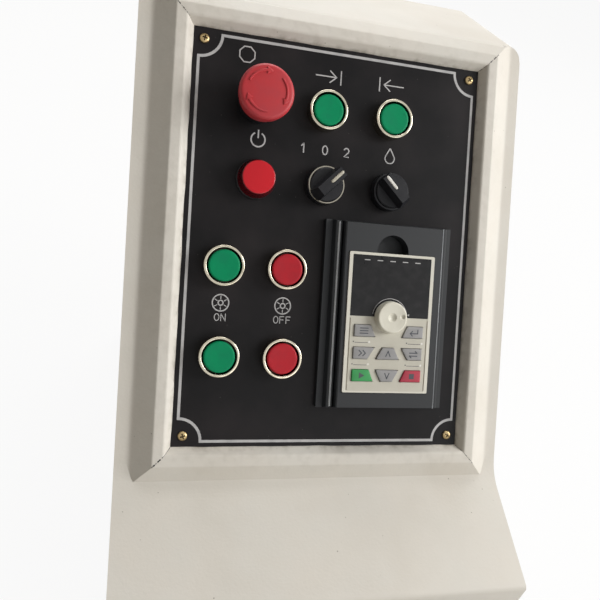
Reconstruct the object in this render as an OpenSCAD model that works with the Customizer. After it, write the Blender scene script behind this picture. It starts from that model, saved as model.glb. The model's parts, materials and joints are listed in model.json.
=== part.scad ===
// Control console of a planer knife grinder: sheet-metal desk with a sloped operator panel.
// Front faces -Y, +Z is up, the origin is the middle of the base bolt pattern on the base plane.

/* [Console] */
// Thickness of the folded sheet
sheet_t = 2; // [1.5:0.1:3]
// Overall depth of the console, without the louvres
console_d = 402; // [380:1:430]
// Tilt of the operator panel back from vertical
panel_tilt = 36; // [32:0.5:40]
// Height of the apron's front edge above the base
skirt_h = 110; // [100:1:125]
// Depth of the apron, from its front edge to the foot of the slope
apron_run = 86.9; // [80:0.1:95]
// Slope of the apron from horizontal
apron_angle = 16.2; // [14:0.1:18]
// Gap between the foot of the slope and the panel frame
foot_gap = 1.3; // [1:0.1:4]
// Outside bend radius at the front of the apron
bend_r = 4; // [3:0.5:8]
// Radius of the rolled edges at both sides of the top
corner_r = 10; // [6:0.5:14]
// Straight lip under each rolled edge
corner_lip = 8; // [4:0.5:14]
// Width of the flanges that the rear cover is screwed to
flange_w = 16; // [12:0.5:22]

// Distance of the outer cover screws from the ends of the flanges
cover_screw_in = 25; // [18:1:30]
// Shank diameter of the cover screws
cover_screw_d = 4.8; // [4:0.1:6]
// Head diameter of the cover screws
cover_head_d = 9; // [8:0.1:11]
// Head height of the cover screws
cover_head_h = 2.6; // [2:0.1:4]
// Length of the louvres in the rear cover
louvre_len = 70; // [50:1:90]
// Height that the louvres stand out
louvre_r = 5; // [4:0.5:8]
// Distance between louvres
louvre_pitch = 16; // [14:0.5:22]
// Place of the louvre columns, either side of the middle
louvre_x = 60; // [50:1:75]
// Place of the highest louvre below the rolled edges
louvre_drop = 60; // [40:1:80]

/* [Base] */
// Thickness of the base plate
base_t = 3; // [2:0.5:6]
// Distance of the base bolts from the console's sides
bolt_in_x = 31.5; // [25:0.5:45]
// Distance of the base bolts from the console's front and back
bolt_in_y = 31; // [25:0.5:45]
// Diameter of the base bolt holes
bolt_hole_d = 11; // [9:0.5:13]
// Width of the cable opening
cable_w = 110; // [80:1:130]
// Depth of the cable opening
cable_d = 56; // [40:1:70]
// Middle of the cable opening, behind the skirt's front
cable_in = 91; // [80:1:105]
// Wall of the rubber edging in the cable opening
edging_t = 2.5; // [1.5:0.1:4]

/* [Panel frame] */
// Thickness of the control plate
plate_t = 3; // [2:0.5:4]
// Height of the frame crest above the control plate
crest_h = 7; // [6:0.5:10]
// Width of the frame's inner bevel
bevel_w = 4.8; // [4:0.1:7]
// Width of the frame's flat crest
crest_w = 8; // [6:0.1:10]
// Width of the frame's cove at both sides, out to the console's sides
cove_span = 25.7; // [22:0.1:32]
// Width of the frame's cove at top and bottom
cove_w = 10; // [8:0.5:14]
// Thickness of the frame at the console's sides
frame_edge_t = 0.8; // [0.5:0.1:2]
// Width of the open mitre joints of the frame
mitre_gap = 0.3; // [0.2:0.1:0.8]
// Distance of the plate screws from the plate edges
screw_inset = 8; // [7:0.5:10]
// Head diameter of the plate screws
screw_head_d = 7; // [5:0.1:8]

// Shank diameter of the plate screws
screw_d = 4; // [3:0.1:5]
// Head height of the plate screws
screw_head_h = 2.4; // [1.8:0.1:3]
// Width of the sheet's ledge under the plate, inside the plate screws
ledge_in = 5; // [3:0.5:6]

/* [Layout] */
// Left column of the two upper rows, from the plate's left edge
col_a_in = 49.2; // [46:0.1:54]
// Middle column of the upper rows, right of the first
col_b_step = 51.6; // [48:0.1:55]
// Right column of the upper rows, right of the second
col_c_step = 52.3; // [48:0.1:55]
// Shift of the second row to the right of the first
row_2_shift = 1.4; // [0:0.1:3]
// Left column of the two lower rows, from the plate's left edge
col_d_in = 30; // [27:0.1:34]
// Right column of the two lower rows, right of the first
col_e_step = 46.4; // [42:0.1:50]
// First row, from the plate's top edge
row_1_in = 48.5; // [45:0.1:54]
// Second row, below the first
row_2_step = 55.1; // [50:0.1:60]
// Third row, below the second
row_3_step = 64.4; // [58:0.1:70]
// Fourth row, below the third
row_4_step = 65.5; // [58:0.1:70]
// Gap between the lower rows' bezels and the drive
drive_gap_x = 14.15; // [10:0.05:18]
// Gap between the second row's rings and the drive
drive_gap_v = 10; // [7:0.1:14]
// Plate to the right of the drive
drive_right = 17.7; // [15:0.1:22]
// Plate below the drive
drive_low = 30.5; // [26:0.1:36]

/* [Operators] */
// Thread diameter of the operators' barrels
barrel_d = 22; // [20:0.1:23]
// Length of the barrels behind the plate face
barrel_len = 30; // [24:0.5:36]
// Diameter of the button bezels
bezel_d = 29.5; // [28:0.1:32]
// Height of the button bezels
bezel_h = 9.5; // [8:0.1:11]
// Diameter of the button caps
cap_d = 23.2; // [22:0.1:24]
// Open ring between a cap and its bezel
cap_gap = 0.8; // [0.4:0.1:1]
// Depth of the caps below the bezel rims
cap_sink = 0.6; // [0.2:0.1:1.5]
// Stroke of a button
button_stroke = 4; // [3:0.1:5]
// Diameter of the shanks inside the barrels
shank_d = 15; // [12:0.1:16]
// Diameter of the emergency stop head
estop_d = 38.6; // [37:0.1:42]
// Top of the emergency stop head above the plate
estop_top = 33; // [31:0.5:37]
// Stroke of the emergency stop
estop_stroke = 7; // [5:0.5:7.5]
// Height of the collar under the emergency stop
estop_collar_h = 13; // [12:0.5:15]
// Base diameter of the lamp lens
lens_d = 28.4; // [27:0.1:30]
// Face diameter of the lamp lens
lens_face_d = 25.6; // [24:0.1:27]
// Top of the lamp lens above the plate
lens_top = 12.5; // [10:0.5:18]
// Height of the collar under the lamp lens
lamp_collar_h = 3; // [2:0.5:5]
// Diameter of the selector rings
ring_d = 28.8; // [27:0.1:30]
// Height of the selector rings
ring_h = 8; // [6:0.1:10]
// Width of the bright trim on the mode selector
trim_w = 1.1; // [0.8:0.1:1.6]
// Length of the selector bars at their foot
bar_len = 28; // [25:0.5:30]
// Width of the selector bars at their foot
bar_w = 11; // [9:0.1:13]
// Width of the selector bars at their top
bar_top_w = 7.4; // [6:0.1:9]
// Top of the selector bars above the plate
bar_top = 20; // [18:0.5:24]
// Slope of the selector bars' back end
bar_rake = 4; // [2:0.5:7]
// Width of the selector pointers
pointer_w = 2.6; // [2:0.1:3.5]
// Length of the selector pointers
pointer_len = 12.5; // [9:0.1:14]
// Thickness of the selector pointers
pointer_t = 1; // [0.8:0.1:1.5]
// Angle of both selectors at rest, either side of straight up
rest_angle = 45; // [30:1:50]

/* [Drive] */
// Drive front above the keypad
drive_head = 23.4; // [20:0.1:28]
// Border of the raised face at both sides of the keypad, on average
face_border = 5.2; // [4:0.1:7]
// Height of the raised face above the plate
face_h = 16; // [14:0.5:18]
// Height of the outer side step
step_h = 4; // [3:0.1:5]
// Height of the ribs between step and face
rib_h = 10; // [8:0.1:12]
// Width of the outer side step
step_w = 5; // [4:0.1:6]
// Width of the ribs
rib_w = 3.6; // [3:0.1:4.2]
// Gap between the outer side step and the rib
rib_gap = 1; // [0.5:0.1:2]
// Width of the grooves between ribs and face
groove_w = 2.4; // [2:0.1:4]
// Draft of the raised face at its top and bottom ends
end_draft = 2; // [1:0.1:3]
// Wall of the drive front
front_wall = 3; // [2:0.1:4]
// Depth of the drive behind the plate
drive_depth = 78; // [70:1:90]
// Depth of the heat sink behind the drive body
sink_depth = 34; // [25:1:45]
// Margin of the plate under the drive front
drive_margin = 4; // [3:0.1:6]
// Radius of the thumb notch above the keypad
notch_r = 12.7; // [11:0.1:14]
// Depth of the thumb notch
notch_depth = 11; // [9:0.5:11.5]
// Centre of the thumb notch above the keypad's top edge
notch_rise = 1.3; // [0:0.1:3]
// Length of the clamping brackets
bracket_len = 30; // [24:1:40]
// Leg of the clamping brackets
bracket_leg = 9; // [7:0.5:11]
// Width of the cooling slots in the drive body
vent_w = 5; // [3:0.5:6]
// Distance between cooling slots
vent_pitch = 9.5; // [8:0.1:11]
// Thickness of the heat sink's base
sink_base = 6; // [4:0.5:9]
// Thickness of the heat sink's fins
fin_t = 1.8; // [1.2:0.1:2.5]

/* [Keypad] */
// Place of the keypad left of the drive's centre
pad_left = 1.5; // [0:0.1:2.5]
// Place of the keypad's foot above the drive's
pad_low = 13.5; // [11:0.1:16]
// Face of the keypad above the plate
pad_face = 17; // [16:0.1:19]
// Depth of the keypad case
pad_depth = 12; // [11:0.1:13]
// Wall of the keypad case
pad_wall = 2; // [1.5:0.1:2.5]
// Border at both sides of the display window
window_side = 2.7; // [2:0.1:4]
// Height of the display window
window_h = 45.5; // [43:0.1:47]
// Border above the display window
window_top = 2; // [1.5:0.1:3]
// Thickness of the display window
window_t = 1; // [0.8:0.1:1.4]
// Diameter of the speed knob at its foot
dial_d = 26; // [24:0.1:27]
// Diameter of the speed knob at its front
dial_front_d = 22; // [19:0.1:23]
// Height of the speed knob
dial_h = 6; // [4:0.1:9]
// Diameter of the speed knob shaft
dial_shaft_d = 6; // [5:0.1:7]
// Height of the keys along the slope
key_h = 8.7; // [8:0.1:9.5]
// Distance between key rows
key_pitch = 16.7; // [16:0.1:17.2]
// First key row below the display window
key_drop = 6.4; // [5:0.1:8]
// Keypad below the last key row
key_low = 8.6; // [7:0.1:11]
// Width of the outer keys
key_w = 17; // [16:0.1:17.5]
// Distance of the outer keys from the keypad's side
key_side = 6.6; // [6:0.1:7.5]
// Greatest width of the middle keys
key_mid_w = 18.8; // [17:0.1:20]
// Slant of the middle keys' sides
key_slant = 4.8; // [3:0.1:6]
// Gap between outer and middle keys
key_gap = 1.3; // [1.2:0.1:2.5]
// How far the keys stand out of the keypad
key_proud = 1.2; // [1:0.1:1.6]
// Stroke of a key
key_stroke = 0.8; // [0.5:0.1:0.9]

/* [Inside] */
// Width of the mounting plate
tray_w = 204; // [200:1:210]
// Distance of the mounting plate from the console's back
tray_back = 26; // [22:1:34]
// Gap between the devices of the two rails
rail_gap = 12; // [8:1:18]
// Height of the stand-offs under the mounting plate
standoff_h = 12; // [8:0.5:18]
// Height of the mounting rail
rail_h = 7.5; // [7:0.1:15]
// Width of the mounting rail
rail_w = 35; // [30:0.5:36]
// Width of one breaker pole
pole_w = 17.5; // [17:0.1:18]
// Depth of the breaker along the console
breaker_d = 80; // [74:1:90]
// Height of the breaker's shoulders above the rail
breaker_h = 44; // [40:1:50]
// Depth of the breaker's nose
breaker_nose_d = 45; // [42:1:50]
// Height of the breaker's nose above the rail
breaker_nose_h = 62; // [55:1:70]
// Size of the breaker's toggle
toggle = 8; // [6:0.5:10]
// Width of a contactor
contactor_w = 45; // [42:1:48]
// Depth of a contactor along the console
contactor_d = 74; // [70:1:80]
// Height of a contactor's shoulders above the rail
contactor_h = 50; // [45:1:56]
// Depth of a contactor's nose
contactor_nose_d = 46; // [40:1:52]
// Height of a contactor's nose above the rail
contactor_nose_h = 80; // [70:1:88]
// Gap between the devices on a rail
device_gap = 8; // [5:0.5:12]
// Depth of the overload relay
relay_d = 44; // [40:1:48]
// Height of the overload relay above the mounting plate
relay_h = 66; // [60:1:72]
// Diameter of the devices' screw wells
well_d = 6; // [4.5:0.1:7]
// Width of one terminal block
terminal_pitch = 6.2; // [5:0.1:8]
// Depth of a terminal block
terminal_d = 42; // [38:1:46]
// Height of a terminal block's shoulders above the rail
terminal_h = 26; // [22:1:30]
// Depth of a terminal block's nose
terminal_nose_d = 28; // [24:1:30]
// Height of a terminal block's nose above the rail
terminal_nose_h = 36; // [32:1:40]
// Width of the control transformer's core
core_w = 66; // [60:1:72]
// Depth of the control transformer's core
core_d = 40; // [36:1:46]
// Height of the control transformer's core
core_h = 56; // [50:1:62]
// Width of the control transformer's legs
core_leg = 11; // [9:0.5:13]
// Depth that the winding stands out of the core
winding_out = 10; // [6:0.5:12]
// Middle of the control transformer from the console's left side
transformer_in = 46; // [42:0.5:56]
// Gap between the control transformer and the mounting plate
transformer_gap = 40; // [32:1:46]

/* [Fits] */
// Side clearance of parts that slide in a guide
slide_gap = 0.5; // [0.3:0.05:0.7]
// Clearance of parts set into a pocket
seat_gap = 0.3; // [0.2:0.05:0.5]
// Clearance of running fits, on the radius
run_gap = 0.05; // [0.02:0.01:0.1]

/* [Hidden] */
$fn = 64;
past = 1;
skirt_y = -console_d / 2;
back_y = console_d / 2;
wall_back_y = back_y - sheet_t;
frame_seat = -plate_t;
slope_angle = 90 - panel_tilt;
bolt_span_y = console_d - 2 * bolt_in_y;
cable_y = skirt_y + cable_in;
dial_v = window_top + window_h;
key_top = dial_v + key_drop;
pad_w = 2 * (key_side + key_w + key_gap) + key_mid_w;
pad_h = key_top + 2 * key_pitch + key_h + key_low;
window_w = pad_w - 2 * window_side;
face_w = pad_w + 2 * face_border;
drive_w = face_w + 2 * (step_w + rib_gap + rib_w + groove_w);
drive_h = pad_low + pad_h + drive_head;
drive_col = col_d_in + col_e_step + bezel_d / 2 + drive_gap_x;
drive_row = row_1_in + row_2_step + ring_d / 2 + drive_gap_v;
plate_w = drive_col + drive_w + drive_right;
plate_h = drive_row + drive_h + drive_low;
crest_half_x = plate_w / 2 + bevel_w + crest_w;
crest_half_v = plate_h / 2 + bevel_w + crest_w;
half_w = crest_half_x + cove_span;
console_w = 2 * half_w;
bolt_span_x = console_w - 2 * bolt_in_x;
cove_rise = crest_h - frame_seat - frame_edge_t;
cove_r = (cove_span * cove_span + cove_rise * cove_rise) / (2 * cove_rise);
cove_axis_h = frame_seat + frame_edge_t + cove_r;
rim_half_v = crest_half_v + cove_w;
rim_h = cove_axis_h - sqrt(cove_r * cove_r - (cove_span - cove_w) * (cove_span - cove_w));
foot = [skirt_y + apron_run, skirt_h + apron_run * tan(apron_angle)];
slope_out = [-cos(panel_tilt), sin(panel_tilt)];
slope_up = [sin(panel_tilt), cos(panel_tilt)];
panel_mid = foot + (rim_half_v + foot_gap) * slope_up + plate_t * slope_out;
panel_y = panel_mid.x;
panel_z = panel_mid.y;
top_z = panel_z + rim_half_v * slope_up.y + rim_h * slope_out.y;
lip_z = top_z - corner_r - corner_lip;
ledge = screw_inset + ledge_in;
col_a = col_a_in - plate_w / 2;
col_b = col_a + col_b_step;
col_c = col_b + col_c_step;
col_d = col_d_in - plate_w / 2;
col_e = col_d + col_e_step;
row_1 = plate_h / 2 - row_1_in;
row_2 = row_1 - row_2_step;
row_3 = row_2 - row_3_step;
row_4 = row_3 - row_4_step;
drive_x = drive_col - plate_w / 2 + drive_w / 2;
drive_v = drive_low - plate_h / 2 + drive_h / 2;
shank_bore_r = shank_d / 2 + slide_gap;
cap_top = bezel_h - cap_sink;
cap_t = 3.2;
cap_low = cap_top - cap_t;
cap_floor = cap_low - button_stroke - seat_gap;
block_w = barrel_d + 4;
block_len = block_w + 12;
block_h = 34;
block_pocket = 12;
block_step = 8;
shank_end = barrel_len + 3;
estop_low = estop_collar_h + 1;
estop_roof = estop_collar_h + estop_stroke + 2;
estop_neck_r = 5;
estop_neck_top = estop_top - 4;
case_back = pad_face - pad_depth;
board_t = 1.6;
board_top = case_back + 3;
key_foot = board_top + key_stroke + seat_gap;
pad_x = drive_x - pad_left;
pad_v = drive_v - drive_h / 2 + pad_low + pad_h / 2;
pad_top_v = pad_v + pad_h / 2;
dial_place = [pad_x, pad_top_v - dial_v];
sink_back = drive_depth + sink_depth;
body_w = drive_w - 2 * drive_margin - 2 * seat_gap;
body_h = drive_h - 2 * drive_margin - 2 * seat_gap;
tray_d = breaker_d + rail_gap + terminal_d + 2 * device_gap;
tray_y = back_y - tray_back - tray_d / 2;
tray_top = base_t + standoff_h + sheet_t;
rail_top = tray_top + rail_h;
rail_end = 6;
rail_front_y = tray_y - tray_d / 2 + device_gap + breaker_d / 2;
rail_back_y = tray_y + tray_d / 2 - device_gap - terminal_d / 2;
breaker_x = -tray_w / 2 + rail_end + device_gap + 1.5 * pole_w;
relay_y = rail_front_y - contactor_d / 2 - relay_d / 2;
transformer_y = tray_y - tray_d / 2 - transformer_gap - core_d / 2 - winding_out;
cover_screw_x = half_w - sheet_t - flange_w / 2;

BUTTONS = [[col_b, row_1], [col_c, row_1], [col_d, row_3], [col_e, row_3], [col_d, row_4], [col_e, row_4]];
ESTOP = [col_a, row_1];
LAMP = [col_a + row_2_shift, row_2];
MODE = [col_b + row_2_shift, row_2];
PUMP = [col_c + row_2_shift, row_2];
DEVICES = concat(BUTTONS, [ESTOP, LAMP, MODE, PUMP]);

// Points of an arc about c, from angle a to angle b
function arc(c, r, a, b, n = 6) =
    [for (i = [0:n]) c + r * [cos(a + (b - a) * i / n), sin(a + (b - a) * i / n)]];

// Rectangle about the origin with round corners
function round_rect(w, h, r) = concat(
    arc([w / 2 - r, h / 2 - r], r, 0, 90),
    arc([-w / 2 + r, h / 2 - r], r, 90, 180),
    arc([-w / 2 + r, -h / 2 + r], r, 180, 270),
    arc([w / 2 - r, -h / 2 + r], r, 270, 360));

// Meeting point of the line through p at angle a with the line through q at angle b
function meet(p, a, q, b) =
    let (t = ((q.x - p.x) * sin(b) - (q.y - p.y) * cos(b)) / sin(b - a))
    p + t * [cos(a), sin(a)];

// Lines of the side outline, d inside the outer face, as a point in [y, z] and an angle
function skirt_line(d) = [skirt_y + d, 0];
function apron_line(d) = [skirt_y, skirt_h] + d * [sin(apron_angle), -cos(apron_angle)];
function slope_line(d) = [panel_y, panel_z] + (frame_seat - d) * slope_out;
function top_line(d) = [0, top_z - d];

// Corners of the side outline: apron edge, foot of the slope, and top edge
function apron_edge(d) = meet(skirt_line(d), 90, apron_line(d), apron_angle);
function slope_foot(d) = meet(apron_line(d), apron_angle, slope_line(d), slope_angle);
function slope_head(d) = meet(slope_line(d), slope_angle, top_line(d), 0);

// Bend at the apron edge, rounded about a centre that both faces of the sheet share
bend_centre = apron_edge(bend_r);
function bend(d) = arc(bend_centre, bend_r - d, 180, 90 + apron_angle);

// Section across the console with rolled top edges, d inside the outer face, down to height low
function cross_section(d, low) = concat(
    [[-half_w + d, low]],
    arc([-half_w + corner_r, top_z - corner_r], corner_r - d, 180, 90),
    arc([half_w - corner_r, top_z - corner_r], corner_r - d, 90, 0),
    [[half_w - d, low]]);

// Places children on the operator panel: x across, y up the slope, z out of the plate face
module on_panel() {
    translate([0, panel_y, panel_z])
        rotate([90 - panel_tilt, 0, 0]) children();
}

// Places children at one spot of the operator panel
module at_spot(spot) {
    on_panel() translate([spot.x, spot.y, 0]) children();
}

// Extrudes a side outline given in [y, z] from x = from to x = to
module across(from, to) {
    translate([from, 0, 0])
        rotate([90, 0, 90]) linear_extrude(to - from) children();
}

// Extrudes a cross section given in [x, z] from y = from to y = to
module along(from, to) {
    translate([0, to, 0])
        rotate([90, 0, 0]) linear_extrude(to - from) children();
}

// Everything behind the slope plane that lies d inside the sheet's outer face
module behind_slope(d) {
    on_panel()
        translate([-console_w, -2 * plate_h, -4 * plate_h + frame_seat - d])
        cube([2 * console_w, 4 * plate_h, 4 * plate_h]);
}

// Box centred on x and y that stands on z = 0
module block(size) {
    translate([-size.x / 2, -size.y / 2, 0]) cube(size);
}

module base_plate() {
    color("#b9b4a6") difference() {
        translate([-half_w, skirt_y, 0]) cube([console_w, wall_back_y - skirt_y, base_t]);
        for (x = [-1, 1], y = [-1, 1])
            translate([x * bolt_span_x / 2, y * bolt_span_y / 2, -past])
                cylinder(d = bolt_hole_d, h = base_t + 2 * past);
        translate([0, cable_y, -past]) block([cable_w, cable_d, base_t + 2 * past]);
    }
}

module cable_edging() {
    color("#222222") translate([0, cable_y, 0]) difference() {
        union() {
            block([cable_w, cable_d, base_t]);
            translate([0, 0, base_t]) block([cable_w + 2 * edging_t, cable_d + 2 * edging_t, edging_t]);
        }
        translate([0, 0, -past])
            block([cable_w - 2 * edging_t, cable_d - 2 * edging_t, base_t + edging_t + 2 * past]);
    }
}

// One side panel from x = from to x = to, with its rear flange on the side given by inner
module side_panel(from, to, inner) {
    flange_x = inner > 0 ? to : from - flange_w;
    color("#d9d4c6") {
        across(from, to) intersection() {
            polygon(concat(
                [[wall_back_y, base_t], [skirt_y + sheet_t, base_t]], bend(sheet_t),
                [slope_foot(sheet_t), slope_head(sheet_t), [wall_back_y, top_z - sheet_t]]));
            translate([skirt_y, base_t]) square([wall_back_y - skirt_y, lip_z - base_t]);
        }
        translate([flange_x, wall_back_y - sheet_t, base_t]) cube([flange_w, sheet_t, lip_z - base_t]);
    }
}

module side_panel_left() { side_panel(-half_w, -half_w + sheet_t, 1); }

module side_panel_right() { side_panel(half_w - sheet_t, half_w, -1); }

// Skirt, apron and slope in one folded sheet, and the top with its rolled edges
module wrap_sheet() {
    color("#d9d4c6") {
        difference() {
            intersection() {
                across(-half_w, half_w) polygon(concat(
                    [[skirt_y, base_t]], bend(0), [slope_foot(0), slope_head(0)],
                    [slope_head(sheet_t), slope_foot(sheet_t)],
                    [for (i = [6:-1:0]) bend(sheet_t)[i]], [[skirt_y + sheet_t, base_t]]));
                along(skirt_y - past, back_y) polygon(cross_section(0, 0));
            }
            on_panel() translate([0, 0, frame_seat - 3 * sheet_t])
                block([plate_w - 2 * ledge, plate_h - 2 * ledge, 4 * sheet_t]);
        }
        intersection() {
            along(slope_foot(0).x, wall_back_y) difference() {
                polygon(cross_section(0, lip_z));
                polygon(cross_section(sheet_t, lip_z - past));
            }
            behind_slope(0);
        }
        translate([-half_w + corner_r, wall_back_y - sheet_t, top_z - sheet_t - flange_w])
            cube([console_w - 2 * corner_r, sheet_t, flange_w + sheet_t / 2]);
    }
}

// Pressed louvre, open at its lower edge
module louvre(len, r) {
    rotate([0, 90, 0]) difference() {
        cylinder(r = r, h = len, center = true);
        cylinder(r = r - sheet_t / 2, h = len - sheet_t, center = true);
        translate([0, -r - past, 0]) cube([4 * r, 2 * r + 2 * past, len + 2 * past], center = true);
        translate([r, r / 2, 0]) cube([2 * r - sheet_t / 2, 2 * r, len - sheet_t], center = true);
    }
}

module rear_cover() {
    color("#d9d4c6") {
        difference() {
            along(wall_back_y, back_y) polygon(cross_section(0, 0));
            for (x = [-1, 1], i = [0:5])
                translate([x * louvre_x, back_y, louvre_z(i) - louvre_r / 2])
                    cube([louvre_len - sheet_t, 4 * sheet_t, louvre_r - sheet_t / 2], center = true);
            for (x = [-1, 1], i = [0:3])
                translate([x * cover_screw_x, back_y, cover_screw_z(i)])
                    rotate([90, 0, 0]) cylinder(d = cover_screw_d + 0.2, h = 3 * sheet_t, center = true);
        }
        for (x = [-1, 1], i = [0:5])
            translate([x * louvre_x, back_y, louvre_z(i)]) louvre(louvre_len, louvre_r);
    }
}

// Heights of the louvres, from the top, and of the cover screws, from the foot
function louvre_z(i) = lip_z - louvre_drop - i * louvre_pitch;
function cover_screw_z(i) = base_t + cover_screw_in + i * (lip_z - base_t - 2 * cover_screw_in) / 3;

module cover_screws() {
    shank_r = cover_screw_d / 2;
    head_r = cover_head_d / 2;
    dome = cover_head_h - 0.6;
    color("#a9a294") for (x = [-1, 1], i = [0:3])
        translate([x * cover_screw_x, back_y, cover_screw_z(i)]) rotate([-90, 0, 0]) rotate_extrude()
            polygon(concat([[0, -sheet_t], [shank_r, -sheet_t], [shank_r, 0], [head_r, 0]],
                arc([head_r - dome, cover_head_h - dome], dome, 0, 90), [[0, cover_head_h]]));
}

// Raised frame in four mitred lengths: bevel towards the plate, flat crest, cove all round outside
module panel_frame() {
    reach = 2 * plate_h;
    color("#d9d4c6") intersection() {
        on_panel() difference() {
            translate([0, 0, frame_seat]) block([console_w, reach, crest_h - frame_seat]);
            for (x = [-1, 1]) translate([x * half_w, -reach, cove_axis_h])
                rotate([-90, 0, 0]) cylinder(r = cove_r, h = 2 * reach, $fn = 128);
            for (y = [-1, 1]) translate([-console_w, y * (crest_half_v + cove_span), cove_axis_h])
                rotate([0, 90, 0]) cylinder(r = cove_r, h = 2 * console_w, $fn = 128);
            translate([0, -rim_half_v - reach, frame_seat - past])
                block([2 * console_w, 2 * reach, crest_h + plate_t + 2 * past]);
            frame_window();
            for (x = [-1, 1], y = [-1, 1]) mitre_cut(x, y);
        }
        along(slope_foot(0).x - 2 * crest_h, back_y) polygon(cross_section(0, 0));
        across(-half_w, half_w) polygon([
            apron_edge(0), slope_foot(0), [back_y, slope_foot(0).y], [back_y, top_z], [skirt_y, top_z]]);
    }
}

// Bevelled opening of the frame, straight round the plate and flared above its face
module frame_window() {
    top = crest_h + past;
    out = bevel_w * top / crest_h;
    intersection() {
        translate([0, plate_h, 0]) rotate([90, 0, 0]) linear_extrude(2 * plate_h) polygon([
            [-plate_w / 2, 0], [plate_w / 2, 0], [plate_w / 2 + out, top], [-plate_w / 2 - out, top]]);
        translate([-plate_w, 0, 0]) rotate([90, 0, 90]) linear_extrude(2 * plate_w) polygon([
            [-plate_h / 2, 0], [plate_h / 2, 0], [plate_h / 2 + out, top], [-plate_h / 2 - out, top]]);
    }
    translate([0, 0, frame_seat - past])
        block([plate_w + 2 * seat_gap, plate_h + 2 * seat_gap, plate_t + past]);
}

// Open mitre joint at one corner of the frame, from the plate corner outwards
module mitre_cut(x, y) {
    translate([x * plate_w / 2, y * plate_h / 2, frame_seat - past]) rotate([0, 0, atan2(y, x)])
        translate([-past, -mitre_gap / 2, 0]) cube([plate_w, mitre_gap, crest_h + plate_t + 2 * past]);
}

module control_plate() {
    color("#242324") on_panel() difference() {
        translate([0, 0, -plate_t]) block([plate_w, plate_h, plate_t]);
        for (spot = DEVICES)
            translate([spot.x, spot.y, -plate_t - past])
                cylinder(d = barrel_d + 2 * seat_gap, h = plate_t + 2 * past);
        for (x = [-1, 1], y = [-1, 1])
            translate([x * (plate_w / 2 - screw_inset), y * (plate_h / 2 - screw_inset), -plate_t - past])
                cylinder(d = screw_d + 2 * seat_gap, h = plate_t + 2 * past);
        translate([drive_x, drive_v, -plate_t - past])
            block([drive_w - 2 * drive_margin, drive_h - 2 * drive_margin, plate_t + 2 * past]);
    }
}

module plate_screws() {
    head_r = screw_head_d / 2;
    color("#b58a3c") for (x = [-1, 1], y = [-1, 1])
        at_spot([x * (plate_w / 2 - screw_inset), y * (plate_h / 2 - screw_inset)]) difference() {
            rotate_extrude() polygon([
                [0, -plate_t], [screw_d / 2, -plate_t], [screw_d / 2, 0], [head_r, 0],
                [head_r, screw_head_h / 3], [0.72 * head_r, 0.8 * screw_head_h], [0, screw_head_h]]);
            for (turn = [20, 110]) rotate([0, 0, turn])
                translate([0, 0, screw_head_h / 2])
                    block([0.13 * screw_head_d, 0.7 * screw_head_d, screw_head_h]);
        }
}

// Barrel behind a round operator, bored for its shank
function barrel_profile(bore_r) = [
    [bore_r, -barrel_len], [barrel_d / 2 - 0.6, -barrel_len], [barrel_d / 2, 0.6 - barrel_len]];

// Bezels with a slightly drawn-in rim round the cap
module button_bezels() {
    edge = 1;
    draw = 0.4;
    rim_r = bezel_d / 2 - draw;
    well_r = cap_d / 2 + cap_gap;
    color("#c9c8c2") for (spot = BUTTONS) at_spot(spot) rotate_extrude() polygon(concat(
        barrel_profile(shank_bore_r), [[barrel_d / 2, 0], [bezel_d / 2, 0], [bezel_d / 2, bezel_h / 3]],
        arc([rim_r - edge, bezel_h - edge], edge, 0, 90),
        [[well_r + draw, bezel_h], [well_r, bezel_h - draw], [well_r, cap_floor],
            [shank_bore_r, cap_floor]]));
}

// Push button cap with its shank
module cap(spot, tint) {
    edge = 0.8;
    color(tint) at_spot(spot) rotate_extrude() polygon(concat(
        [[0, -shank_end], [shank_d / 2, -shank_end], [shank_d / 2, cap_low], [cap_d / 2, cap_low]],
        arc([cap_d / 2 - edge, cap_top - edge], edge, 0, 90, 4), [[0, cap_top]]));
}

module stroke_right_cap() { cap(BUTTONS[0], "#1a855c"); }

module stroke_left_cap() { cap(BUTTONS[1], "#1a855c"); }

module upper_start_cap() { cap(BUTTONS[2], "#1a855c"); }

module upper_stop_cap() { cap(BUTTONS[3], "#af2632"); }

module lower_start_cap() { cap(BUTTONS[4], "#1a855c"); }

module lower_stop_cap() { cap(BUTTONS[5], "#af2632"); }

module lock_nuts() {
    nut_t = 5;
    color("#3a3a3c") for (spot = DEVICES)
        at_spot(spot) translate([0, 0, -plate_t - nut_t]) difference() {
            cylinder(d = barrel_d + 7, h = nut_t, $fn = 6);
            translate([0, 0, -past]) cylinder(d = barrel_d + 2 * run_gap, h = nut_t + 2 * past);
        }
}

// Contact block behind each operator, clipped to the end of its barrel
module contact_blocks() {
    color("#4b6f5a") for (spot = DEVICES)
        at_spot(spot) translate([0, 0, -barrel_len - block_h]) contact_block();
}

module contact_block() {
    difference() {
        union() {
            block([block_w, block_len, block_h - block_step]);
            block([block_w, block_w, block_h]);
        }
        translate([0, 0, block_h - block_pocket])
            cylinder(d = 2 * shank_bore_r, h = block_pocket + past);
        for (x = [-1, 1], y = [-1, 1])
            translate([x * block_w / 4, y * (block_len + block_w) / 4, block_h - 2 * block_step])
                cylinder(d = 5, h = 2 * block_step);
    }
}

module estop_collar() {
    edge = 1.5;
    color("#222326") at_spot(ESTOP) rotate_extrude() polygon(concat(
        barrel_profile(shank_bore_r), [[barrel_d / 2, 0], [bezel_d / 2, 0]],
        arc([bezel_d / 2 - edge, estop_collar_h - edge], edge, 0, 90, 4), [[shank_bore_r, estop_collar_h]]));
}

// Plunger of the emergency stop: slides in the collar and carries the head on its neck
module estop_stem() {
    color("#2c2c30") at_spot(ESTOP) rotate_extrude() polygon([
        [0, -shank_end], [shank_d / 2, -shank_end], [shank_d / 2, estop_roof - seat_gap],
        [estop_neck_r, estop_roof - seat_gap], [estop_neck_r, estop_neck_top], [0, estop_neck_top]]);
}

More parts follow.
